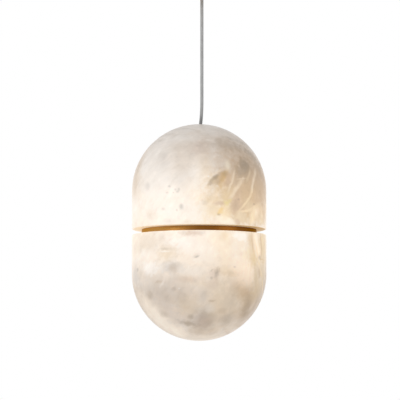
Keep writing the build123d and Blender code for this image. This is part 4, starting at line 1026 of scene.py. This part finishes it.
    def shade_rim(self, sheet: Coat, tint: Socket, level: Field) -> Socket:
        """Paints shade on the flat rim inside the reveal, where less light reaches it, lighter towards the
        left end.

        Args:
            sheet: the node sheet.
            tint: socket of the colour so far.
            level: how far a point lies from the reveal.

        Returns:
            The socket of the new colour.
        """
        radius = self.pill.radius
        across, along, _ = sheet.parts(self.pill.axis_x)
        out = (across * across + along * along).root()
        outer, inner = self.rim_edge
        inside = out.fade(radius - outer, radius - inner) * level.fade(*self.rim_level)
        rim = sheet.mix(across.fade(-radius, radius), self.rim_lit_tint, self.rim_shaded_tint)
        return sheet.mix(inside, tint, rim)

    def lay(self, sheet: Coat, tint: Socket, mark: Mark, place: Socket, tear: Field) -> Socket:
        """Lays one mark over a tint.

        Args:
            sheet: the node sheet.
            tint: socket of the colour so far.
            mark: the mark.
            place: socket of the coordinates that the mark's kind follows.
            tear: how far the mark's edge is pushed in or out, as a share of its reach.

        Returns:
            The socket of the new colour.
        """
        point, axes, sizes = mark.frame_on(self.pill)
        turn, span = axes.to_euler("XYZ"), self.mark_span
        sockets = {"Vector": place, "Location": point, "Rotation": turn, "Scale": span * sizes}
        inside = sheet.node("ShaderNodeMapping", {"vector_type": "TEXTURE"}, sockets)
        ball = sheet.node("ShaderNodeTexGradient", {"gradient_type": "SPHERICAL"}, {"Vector": inside})
        depth = sheet.value(ball, "Fac") - tear
        share = depth.fade(1 - (1 + mark.soft) / span, 1 - (1 - mark.soft) / span, mark.strength)
        return sheet.mix(share, tint, mark.tone.value)


class Brushing(Enum):
    """Which way the fine lines of a metal run."""

    ROUND = "round"
    TUMBLED = "tumbled"


@dataclass(frozen=True)
class Metal(Finish):
    """Satin metal with fine lines and a mottled tarnish, and where asked, painted shade that darkens it
    towards the right.
    """

    colour: Colour
    # colour of the mottled tarnish, and of the painted shade where one is asked for
    tarnish_and_shade: Colour
    roughness: float
    brushing: Brushing = Brushing.TUMBLED
    edge: Colour = WHITE  # where it is seen at a low angle
    axis_x: float = 0.0  # of the lines that run round
    painted_shade_reach: float = 0.0  # distance left of the axis where the painted shade of the right side begins, or 0 for none
    painted_shade_end: float = 0.25  # share of that distance, right of the axis, where it is full
    painted_shade_cloud: float = 0.07  # share of the mottling that is left in the painted shade
    line_scale: float = 1600.0
    line_detail: float = 2.0
    line_stretch: float = 1.5 * MM  # of the noise for each radian of a line that runs round
    line_bump: float = 0.25
    line_depth: float = 0.02 * MM
    line_rough: float = 0.16  # change of the roughness with the lines
    cloud_scale: float = 55.0
    cloud_detail: float = 4.0
    cloud_span: tuple[float, float] = (0.38, 0.68)  # noise values between which the tarnish grows
    cloud_share: float = 0.75  # of the tarnish, which the lines make up to the whole
    cloud_rough: float = 0.12

    def paint(self, sheet: Coat) -> None:
        """Feeds the shader with the metal's lines, tarnish and painted shade.

        Args:
            sheet: the node sheet.
        """
        lines = sheet.noise(self.line_scale, self.line_detail, self.line_place(sheet))
        cloud = sheet.noise(self.cloud_scale, self.cloud_detail)
        share = self.cloud_share * cloud.fade(*self.cloud_span) + (1 - self.cloud_share) * lines
        # painted shade: the colour runs to the dark one towards the right, away from the key lamp
        if self.painted_shade_reach:
            across, _, _ = sheet.parts(self.axis_x)
            painted_shade = across.fade(-self.painted_shade_reach, self.painted_shade_end * self.painted_shade_reach)
            share = self.painted_shade_cloud * share + (1 - self.painted_shade_cloud) * painted_shade
        uneven = self.line_rough * (lines - MIDDLE) + self.cloud_rough * (cloud - MIDDLE)
        sheet.feed(
            sheet.shader,
            {
                "Base Color": sheet.mix(share, self.colour, self.tarnish_and_shade),
                "Metallic": 1.0,
                "Specular Tint": self.edge,
                "Roughness": self.roughness + uneven,
            },
        )
        sheet.bump(lines, self.line_bump, self.line_depth)

    def line_place(self, sheet: Coat) -> Socket:
        """Coordinates in which the metal's lines are stretched.

        Args:
            sheet: the node sheet.

        Returns:
            Their socket.
        """
        if self.brushing is Brushing.TUMBLED:
            return sheet.place
        across, along, height = sheet.parts(self.axis_x)
        turn = along.angle_to(across)
        out = (across * across + along * along).root()
        sockets = {"X": out, "Y": self.line_stretch * turn, "Z": height}
        return sheet.node("ShaderNodeCombineXYZ", {}, sockets).outputs[0]


@dataclass(frozen=True)
class Moulded(Finish):
    """Plastic, rubber or enamel with a fine grain and a slight unevenness of colour, and where asked, painted
    shade over a span of heights.
    """

    colour: Colour
    shade: Colour
    roughness: float
    grain_scale: float = 900.0
    grain_detail: float = 3.0
    grain_bump: float = 0.3
    grain_depth: float = 0.04 * MM
    grain_rough: float = 0.15  # change of the roughness with the grain
    cloud_scale: float = 70.0
    cloud_detail: float = 3.0
    cloud_span: tuple[float, float] = (0.35, 0.7)  # noise values between which the shade grows
    cloud_share: float = 0.7  # of the shade, which the grain makes up to the whole
    painted_shade_span: tuple[float, float] | None = None  # heights between which painted shade darkens it
    painted_shade_span_share: float = 0.5  # of its colour that is left in the painted shade at the darker height

    def paint(self, sheet: Coat) -> None:
        """Feeds the shader with the grain, the uneven colour and any painted shade.

        Args:
            sheet: the node sheet.
        """
        grain = sheet.noise(self.grain_scale, self.grain_detail)
        cloud = sheet.noise(self.cloud_scale, self.cloud_detail)
        share = self.cloud_share * cloud.fade(*self.cloud_span) + (1 - self.cloud_share) * grain
        colour = sheet.mix(share, self.colour, self.shade)
        # painted shade: darker towards one end of the span of heights
        if self.painted_shade_span:
            _, _, height = sheet.parts()
            colour = sheet.mix(height.fade(*self.painted_shade_span), colour, (self.painted_shade_span_share,) * 3, "MULTIPLY")
        sheet.feed(
            sheet.shader,
            {"Base Color": colour, "Roughness": self.roughness + self.grain_rough * (grain - MIDDLE)},
        )
        sheet.bump(grain, self.grain_bump, self.grain_depth)


@dataclass(frozen=True)
class PaleFloor(Finish):
    """Studio floor that looks nearly white and still takes a shadow."""

    colour: Colour = (0.86, 0.86, 0.86)
    shade: Colour = (0.82, 0.82, 0.82)
    lift: float = 0.48  # light added to what the eye and reflections see
    roughness: float = 0.8
    gloss: float = 0.1
    grain_scale: float = 40.0
    grain_detail: float = 3.0
    grain_rough: float = 0.1  # change of the roughness with the grain

    def paint(self, sheet: Coat) -> None:
        """Feeds the shader with a faint grain and the lift.

        Args:
            sheet: the node sheet.
        """
        grain = sheet.noise(self.grain_scale, self.grain_detail)
        sheet.feed(
            sheet.shader,
            {
                "Base Color": sheet.mix(grain, self.colour, self.shade),
                "Roughness": self.roughness + self.grain_rough * (grain - MIDDLE),
                "Emission Color": sheet.mix(sheet.seen(), BLACK, (self.lift,) * 3),
                "Emission Strength": 1.0,
                "Specular IOR Level": self.gloss,
            },
        )


class Bench:
    """Modelling by operators, on one mesh at a time."""

    start_size: ClassVar[float] = 10.0 * MM  # of the plane that is merged to a point
    merge_within: ClassVar[float] = 0.01 * MM
    smooth_below: ClassVar[float] = 40.0  # degrees between two faces

    def __init__(self, name: str, place: Vector) -> None:
        """Starts a mesh from a small plane that is merged to one point.

        Args:
            name: the piece's name.
            place: where the first point stands.
        """
        bpy.ops.object.select_all(action="DESELECT")
        bpy.ops.mesh.primitive_plane_add(size=self.start_size, location=place)
        self.object = bpy.context.object
        self.object.name = name
        self.object.data.name = name
        bpy.ops.object.transform_apply(location=True, rotation=True, scale=True)
        bpy.ops.object.mode_set(mode="EDIT")
        bpy.ops.mesh.select_mode(type="VERT")
        bpy.ops.mesh.select_all(action="SELECT")
        bpy.ops.mesh.merge(type="CENTER")
        self.at = Vector(place)

    def run(self, to: Vector, parts: int = 1) -> None:
        """Extrudes the last point along a straight line.

        Args:
            to: where the line ends.
            parts: number of equal steps.
        """
        step = (to - self.at) / parts
        for _ in range(parts):
            bpy.ops.mesh.extrude_vertices_move(TRANSFORM_OT_translate={"value": step})
        self.at = Vector(to)

    def sweep(self, centre: Vector, angle: float, parts: int) -> None:
        """Spins the last point along an arc in the XZ plane.

        Args:
            centre: the arc's centre.
            angle: degrees, from +X towards +Z.
            parts: number of steps.
        """
        turn = math.radians(angle)
        bpy.ops.mesh.spin(steps=parts, angle=turn, center=centre, axis=(0, 1, 0))
        self.at = centre + Matrix.Rotation(-turn, 3, "Y") @ (self.at - centre)

    def turn(self, axis_x: float, parts: int) -> None:
        """Spins the whole profile round an upright axis, and closes and smooths the mesh.

        Args:
            axis_x: place of the axis.
            parts: number of steps in the whole turn.
        """
        bpy.ops.mesh.select_all(action="SELECT")
        bpy.ops.mesh.spin(steps=parts, angle=2 * math.pi, center=(axis_x, 0, 0), axis=(0, 0, 1))
        bpy.ops.mesh.select_all(action="SELECT")
        bpy.ops.mesh.remove_doubles(threshold=self.merge_within)
        bpy.ops.mesh.normals_make_consistent(inside=False)
        bpy.ops.object.mode_set(mode="OBJECT")
        bpy.ops.object.shade_smooth_by_angle(angle=math.radians(self.smooth_below))


class Half(Enum):
    """The two halves of the stone, by the way they point from the reveal."""

    UPPER = 1
    LOWER = -1


@dataclass
class StoneHalf:
    """One turned alabaster half, with a rim that is lightly rounded and small pits in its face."""

    name: str
    nodes: tuple[str, ...]
    body: str
    half: Half
    finish: Alabaster
    wall: float = 20.0 * MM
    skirt: float = 57.0 * MM
    half_reveal: float = 4.25 * MM
    rim_round: float = 1.2 * MM
    bush_hole: float = 8.8 * MM
    bush_seat: float = 12.05 * MM
    bush_drop: float = 2.0 * MM  # of the bush's seat below the top
    ring_hole: float = 83.0 * MM
    ring_depth: float = 10.35 * MM
    pit_depth: float = 0.35 * MM
    pit_spread: float = 1.4  # reach of a pit as a multiple of its fleck's size
    pit_trace: float = 0.01  # share of the depth below which a point stays where it is
    turn_parts: int = 400
    dome_parts: int = 100
    skirt_parts: int = 34
    round_parts: int = 4
    rim_parts: int = 6  # across the rim of the upper half
    lip_parts: int = 5  # across the rim of the lower half, up to the ring's seat
    bore_parts: int = 4
    hollow_parts: int = 24  # along the inner dome

    @property
    def up(self) -> int:
        """1 above the reveal, and -1 below it."""
        return self.half.value

    def build(self) -> bpy.types.Object:
        """Turns the half and dents its pits.

        Returns:
            The finished piece.
        """
        bench = self.profile()
        bench.turn(self.finish.pill.axis_x, self.turn_parts)
        self.object = bench.object
        self.dent()
        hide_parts(*self.nodes)
        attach(self.object, self.body)
        return self.object

    def point(self, out: float, height: float) -> Vector:
        """A point of the profile.

        Args:
            out: its distance from the axis.
            height: its distance from the rim's plane.

        Returns:
            The point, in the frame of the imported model.
        """
        pill = self.finish.pill
        rim = pill.reveal_z + self.up * self.half_reveal
        return Vector((pill.axis_x + out, 0, rim + self.up * height))

    def profile(self) -> Bench:
        """Draws the half's section, from the far end of the dome along the outside and back inside.

        Returns:
            The bench with the open section on it.
        """
        radius = self.finish.pill.radius
        bore = radius - self.wall
        centre = self.point(0, self.skirt)
        has_bush = self.half is Half.UPPER
        mouth = self.bush_seat if has_bush else 0.0
        opening = math.asin(mouth / radius)
        start = self.point(mouth, self.skirt + radius * math.cos(opening))
        bench = Bench(self.name, start)
        bench.sweep(centre, -self.up * (90 - math.degrees(opening)), self.dome_parts)
        bench.run(self.point(radius, self.rim_round), self.skirt_parts)
        bench.sweep(self.point(radius - self.rim_round, self.rim_round), -self.up * 90, self.round_parts)
        if has_bush:
            bench.run(self.point(bore, 0), self.rim_parts)
        else:
            bench.run(self.point(self.ring_hole, 0), self.lip_parts)
            bench.run(self.point(self.ring_hole, self.ring_depth))
            bench.run(self.point(bore, self.ring_depth))
        bench.run(self.point(bore, self.skirt), self.bore_parts)
        hole = self.bush_hole if has_bush else 0.0
        inner_opening = math.degrees(math.asin(hole / bore))
        bench.sweep(centre, self.up * (90 - inner_opening), self.hollow_parts)
        if has_bush:
            seat = self.skirt + radius - self.bush_drop
            bench.run(self.point(hole, seat))
            bench.run(self.point(mouth, seat))
            bench.run(start)
        return bench

    def dent(self) -> None:
        """Presses the stone's flecks in as shallow pits."""
        mesh = self.object.data
        places = np.zeros(len(mesh.vertices) * 3)
        mesh.vertices.foreach_get("co", places)
        places = places.reshape(-1, 3)
        group = self.object.vertex_groups.new(name="pits")
        for mark in self.finish.marks:
            if mark.kind is not Kind.FLECK or mark.tone is Tone.MILK:
                continue
            point, axes, sizes = mark.frame_on(self.finish.pill)
            local = (places - np.array(point)) @ np.array(axes) / np.array(sizes)
            press = np.clip(1 - (np.linalg.norm(local, axis=1) / self.pit_spread) ** 2, 0, 1) ** 2
            for index in np.nonzero(press > self.pit_trace)[0]:
                group.add([int(index)], float(press[index]), "ADD")
        self.apply("DISPLACE", vertex_group="pits", strength=-self.pit_depth, mid_level=0.0)

    def apply(self, kind: str, **settings: object) -> None:
        """Adds a modifier to the half and applies it.

        Args:
            kind: the modifier's type.
            settings: its properties.
        """
        bpy.ops.object.select_all(action="DESELECT")
        self.object.select_set(True)
        bpy.context.view_layer.objects.active = self.object
        modifier = self.object.modifiers.new(kind.lower(), kind)
        for key, value in settings.items():
            setattr(modifier, key, value)
        bpy.ops.object.modifier_apply(modifier=modifier.name)

    def dress(self) -> None:
        """Gives the half its stone."""
        self.object.data.materials.append(self.finish.material())
        log.info("%s: %d faces", self.name, len(self.object.data.polygons))


@dataclass
class HangingCord:
    """The taut cord between the ball in the ceiling socket and the ball inside the stone."""

    finish: Finish
    diameter: float = 4.8 * MM
    length: float = 243.2 * MM
    route: tuple[Triple, ...] = (
        (0, 0, -0.022),
        (0, 0, -0.1768),
        (0, 0, -0.212),
        (-0.004, 0, -0.247),
        (-0.004, 0, -0.265),
    )
    round_parts: int = 8  # bevel steps of the sheath's round
    run_parts: int = 24  # of the line between two points of the route
    order: int = 3  # of the smooth line

    def build(self) -> bpy.types.Object:
        """Lays the cord along its route as one smooth line.

        Returns:
            The cord's curve.
        """
        curve = bpy.data.curves.new("cord_line", "CURVE")
        curve.dimensions = "3D"
        curve.bevel_depth = 1.0
        curve.bevel_resolution = self.round_parts
        curve.resolution_u = self.run_parts
        spline = curve.splines.new("NURBS")
        spline.points.add(len(self.route) - 1)
        for control, place in zip(spline.points, self.route):
            control.co = (*place, 1.0)
            control.radius = self.diameter / 2
        spline.order_u = self.order
        spline.use_endpoint_u = True
        self.object = bpy.data.objects.new("cord_line", curve)
        bpy.context.scene.collection.objects.link(self.object)
        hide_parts("pendant_cord")
        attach(self.object, "cord")
        return self.object

    def dress(self) -> None:
        """Gives the cord its sheath."""
        self.object.data.materials.append(self.finish.material())
        log.info("%s: %.1f mm long", self.object.name, self.length / MM)


@dataclass
class PackedParts:
    """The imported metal, plastic and lamp parts, which keep their shapes and get finishes by their slots."""

    finishes: dict[str, Finish]

    def dress(self) -> None:
        """Gives each shown part the finish of its record's slot."""
        materials = {slot: finish.material() for slot, finish in self.finishes.items()}
        for row in frame["record"]["subparts"]:
            part = frame["nodes"][row["node"]]
            part.data.materials.clear()
            part.data.materials.append(materials[row["material_slot"]])
            log.info("%s: %s", row["node"], row["material_slot"])


@dataclass(frozen=True)
class Lamp:
    """A soft square lamp that points at the stone."""

    name: str
    place: Triple
    size: float  # width of its face
    power: float  # in watts

    def hang(self, scene: bpy.types.Scene, aim: Triple) -> None:
        """Hangs the lamp.

        Args:
            scene: the scene that gets the lamp.
            aim: the point that it faces.
        """
        light = bpy.data.lights.new(self.name, "AREA")
        light.shape = "SQUARE"
        light.size = self.size
        light.energy = self.power
        lamp = bpy.data.objects.new(self.name, light)
        lamp.location = self.place
        lamp.rotation_euler = (Vector(aim) - Vector(self.place)).to_track_quat("-Z", "Y").to_euler()
        scene.collection.objects.link(lamp)


@dataclass
class Studio:
    """Pale floor, white surroundings, soft lamps and the photographed viewpoint."""

    floor_z: float = -2.6  # a common height of a room
    floor_size: float = 40.0
    view: View = View()
    film_width: float = 36.0  # of the camera, in millimetres
    ambient: float = 0.55  # strength of the white surroundings as a light
    lamps: tuple[Lamp, ...] = (
        Lamp("key", (-1.7, -1.7, 0.7), 1.3, 26.0),
        Lamp("fill", (1.9, -1.2, 0.1), 1.6, 9.0),
        Lamp("low", (0.0, -0.9, -1.7), 1.6, 3.6),
    )

    def build(self) -> None:
        """Sets up the floor, the surroundings, the lamps and the camera."""
        scene = bpy.context.scene
        scene.view_settings.view_transform = "Standard"
        self.floor()
        self.surroundings(scene)
        for lamp in self.lamps:
            lamp.hang(scene, self.view.aim)
        self.camera(scene)

    def floor(self) -> None:
        """Lays the floor."""
        bpy.ops.object.select_all(action="DESELECT")
        bpy.ops.mesh.primitive_plane_add(size=self.floor_size, location=(0, 0, self.floor_z))
        floor = bpy.context.object
        floor.name = "floor"
        bpy.ops.object.transform_apply(location=True, rotation=True, scale=True)
        floor.data.materials.append(PaleFloor("pale_floor").material())

    def surroundings(self, scene: bpy.types.Scene) -> None:
        """Makes the world white to the eye and in reflections, and plain as a light.

        Args:
            scene: the scene that gets the world.
        """
        world = bpy.data.worlds.new("white_room")
        world.use_nodes = True
        sheet = Sheet(world.node_tree)
        strength = self.ambient + (1 - self.ambient) * sheet.seen()
        sky = sheet.node("ShaderNodeBackground", {}, {"Color": WHITE, "Strength": strength})
        sheet.node("ShaderNodeOutputWorld", {}, {"Surface": sky})
        scene.world = world

    def camera(self, scene: bpy.types.Scene) -> None:
        """Stands the camera in front of the stone, a little below it.

        Args:
            scene: the scene that gets the camera.
        """
        data = bpy.data.cameras.new("photo_view")
        data.sensor_width = self.film_width
        data.lens = data.sensor_width * self.view.distance / self.view.width
        camera = bpy.data.objects.new("photo_view", data)
        camera.location = self.view.place
        camera.rotation_euler = self.view.ahead.to_track_quat("-Z", "Y").to_euler()
        scene.collection.objects.link(camera)
        scene.camera = camera


UPPER_STONE = Alabaster(
    "alabaster_upper",
    marks=UPPER_MARKS,
    tints=(
        (0.0, (0.96, 0.86, 0.75)),
        (0.3, (0.96, 0.86, 0.76)),
        (0.55, (0.95, 0.86, 0.77)),
        (0.8, (0.95, 0.87, 0.80)),
        (1.0, (0.95, 0.89, 0.83)),
    ),
    glow=(
        (0.0, (0.53, 0.51, 0.48)),
        (0.3, (0.48, 0.46, 0.43)),
        (0.6, (0.27, 0.25, 0.23)),
        (1.0, (0.10, 0.10, 0.10)),
    ),
)
LOWER_STONE = Alabaster(
    "alabaster_lower",
    marks=LOWER_MARKS,
    tints=(
        (0.0, (0.96, 0.86, 0.75)),
        (0.25, (0.96, 0.86, 0.76)),
        (0.5, (0.94, 0.84, 0.74)),
        (0.8, (0.92, 0.81, 0.71)),
        (1.0, (0.96, 0.87, 0.77)),
    ),
    glow=(
        (0.0, (0.53, 0.51, 0.48)),
        (0.25, (0.47, 0.45, 0.42)),
        (0.55, (0.27, 0.25, 0.23)),
        (0.8, (0.24, 0.22, 0.20)),
        (1.0, (0.33, 0.30, 0.265)),
    ),
)
STONE_AXIS = Pill().axis_x
FINISHES: dict[str, Finish] = {
    "alabaster": UPPER_STONE,
    "band_brass": Metal(
        "band_brass",
        (0.52, 0.272, 0.074),
        (0.185, 0.067, 0.0095),
        0.36,
        Brushing.ROUND,
        (0.85, 0.64, 0.40),
        STONE_AXIS,
        # painted shade: the band darkens towards its right end
        painted_shade_reach=85.5 * MM,
    ),
    "fitting_brass": Metal("fitting_brass", (0.62, 0.44, 0.20), (0.50, 0.33, 0.13), 0.3, Brushing.ROUND),
    "plated_steel": Metal("plated_steel", (0.44, 0.45, 0.46), (0.39, 0.39, 0.39), 0.34),
    "core_aluminium": Metal(
        "core_aluminium", (0.76, 0.76, 0.77), (0.66, 0.66, 0.67), 0.4, Brushing.ROUND, axis_x=STONE_AXIS
    ),
    "cord_sheath": Moulded(
        # painted shade: the cord darkens where it runs into the stone
        "cord_sheath", (0.40, 0.40, 0.40), (0.33, 0.33, 0.33), 0.42, 1500.0, painted_shade_span=(-205 * MM, -226 * MM)
    ),
    "silicone": Moulded("silicone", (0.80, 0.77, 0.72), (0.72, 0.69, 0.63), 0.5),
    "opal_cover": Moulded("opal_cover", (0.90, 0.89, 0.86), (0.86, 0.84, 0.80), 0.45),
    "board_white": Moulded("board_white", (0.84, 0.85, 0.84), (0.78, 0.79, 0.77), 0.4, 500.0),
    "led_phosphor": Moulded("led_phosphor", (0.90, 0.70, 0.22), (0.84, 0.60, 0.16), 0.35),
    "housing_plastic": Moulded("housing_plastic", (0.82, 0.82, 0.80), (0.74, 0.74, 0.72), 0.55, 700.0),
    "wire_sheath": Moulded("wire_sheath", (0.24, 0.12, 0.06), (0.18, 0.09, 0.05), 0.4),
    "bush_nylon": Moulded("bush_nylon", (0.50, 0.48, 0.45), (0.43, 0.41, 0.38), 0.5),
}


def main() -> None:
    """Builds the light and its studio in order."""
    logging.basicConfig(level=logging.INFO, format="%(name)s: %(message)s")
    studio = Studio()
    studio.build()
    cord = HangingCord(FINISHES["cord_sheath"])
    cord.build()
    cord.dress()
    halves = (
        StoneHalf("stone_upper", ("upper_stone",), "head", Half.UPPER, UPPER_STONE),
        StoneHalf(
            "stone_lower",
            ("lower_skirt", "lower_shoulder", "lower_base"),
            "bowl",
            Half.LOWER,
            LOWER_STONE,
        ),
    )
    for half in halves:
        half.build()
        half.dress()
    PackedParts(FINISHES).dress()


if __name__ == "__main__":
    main()
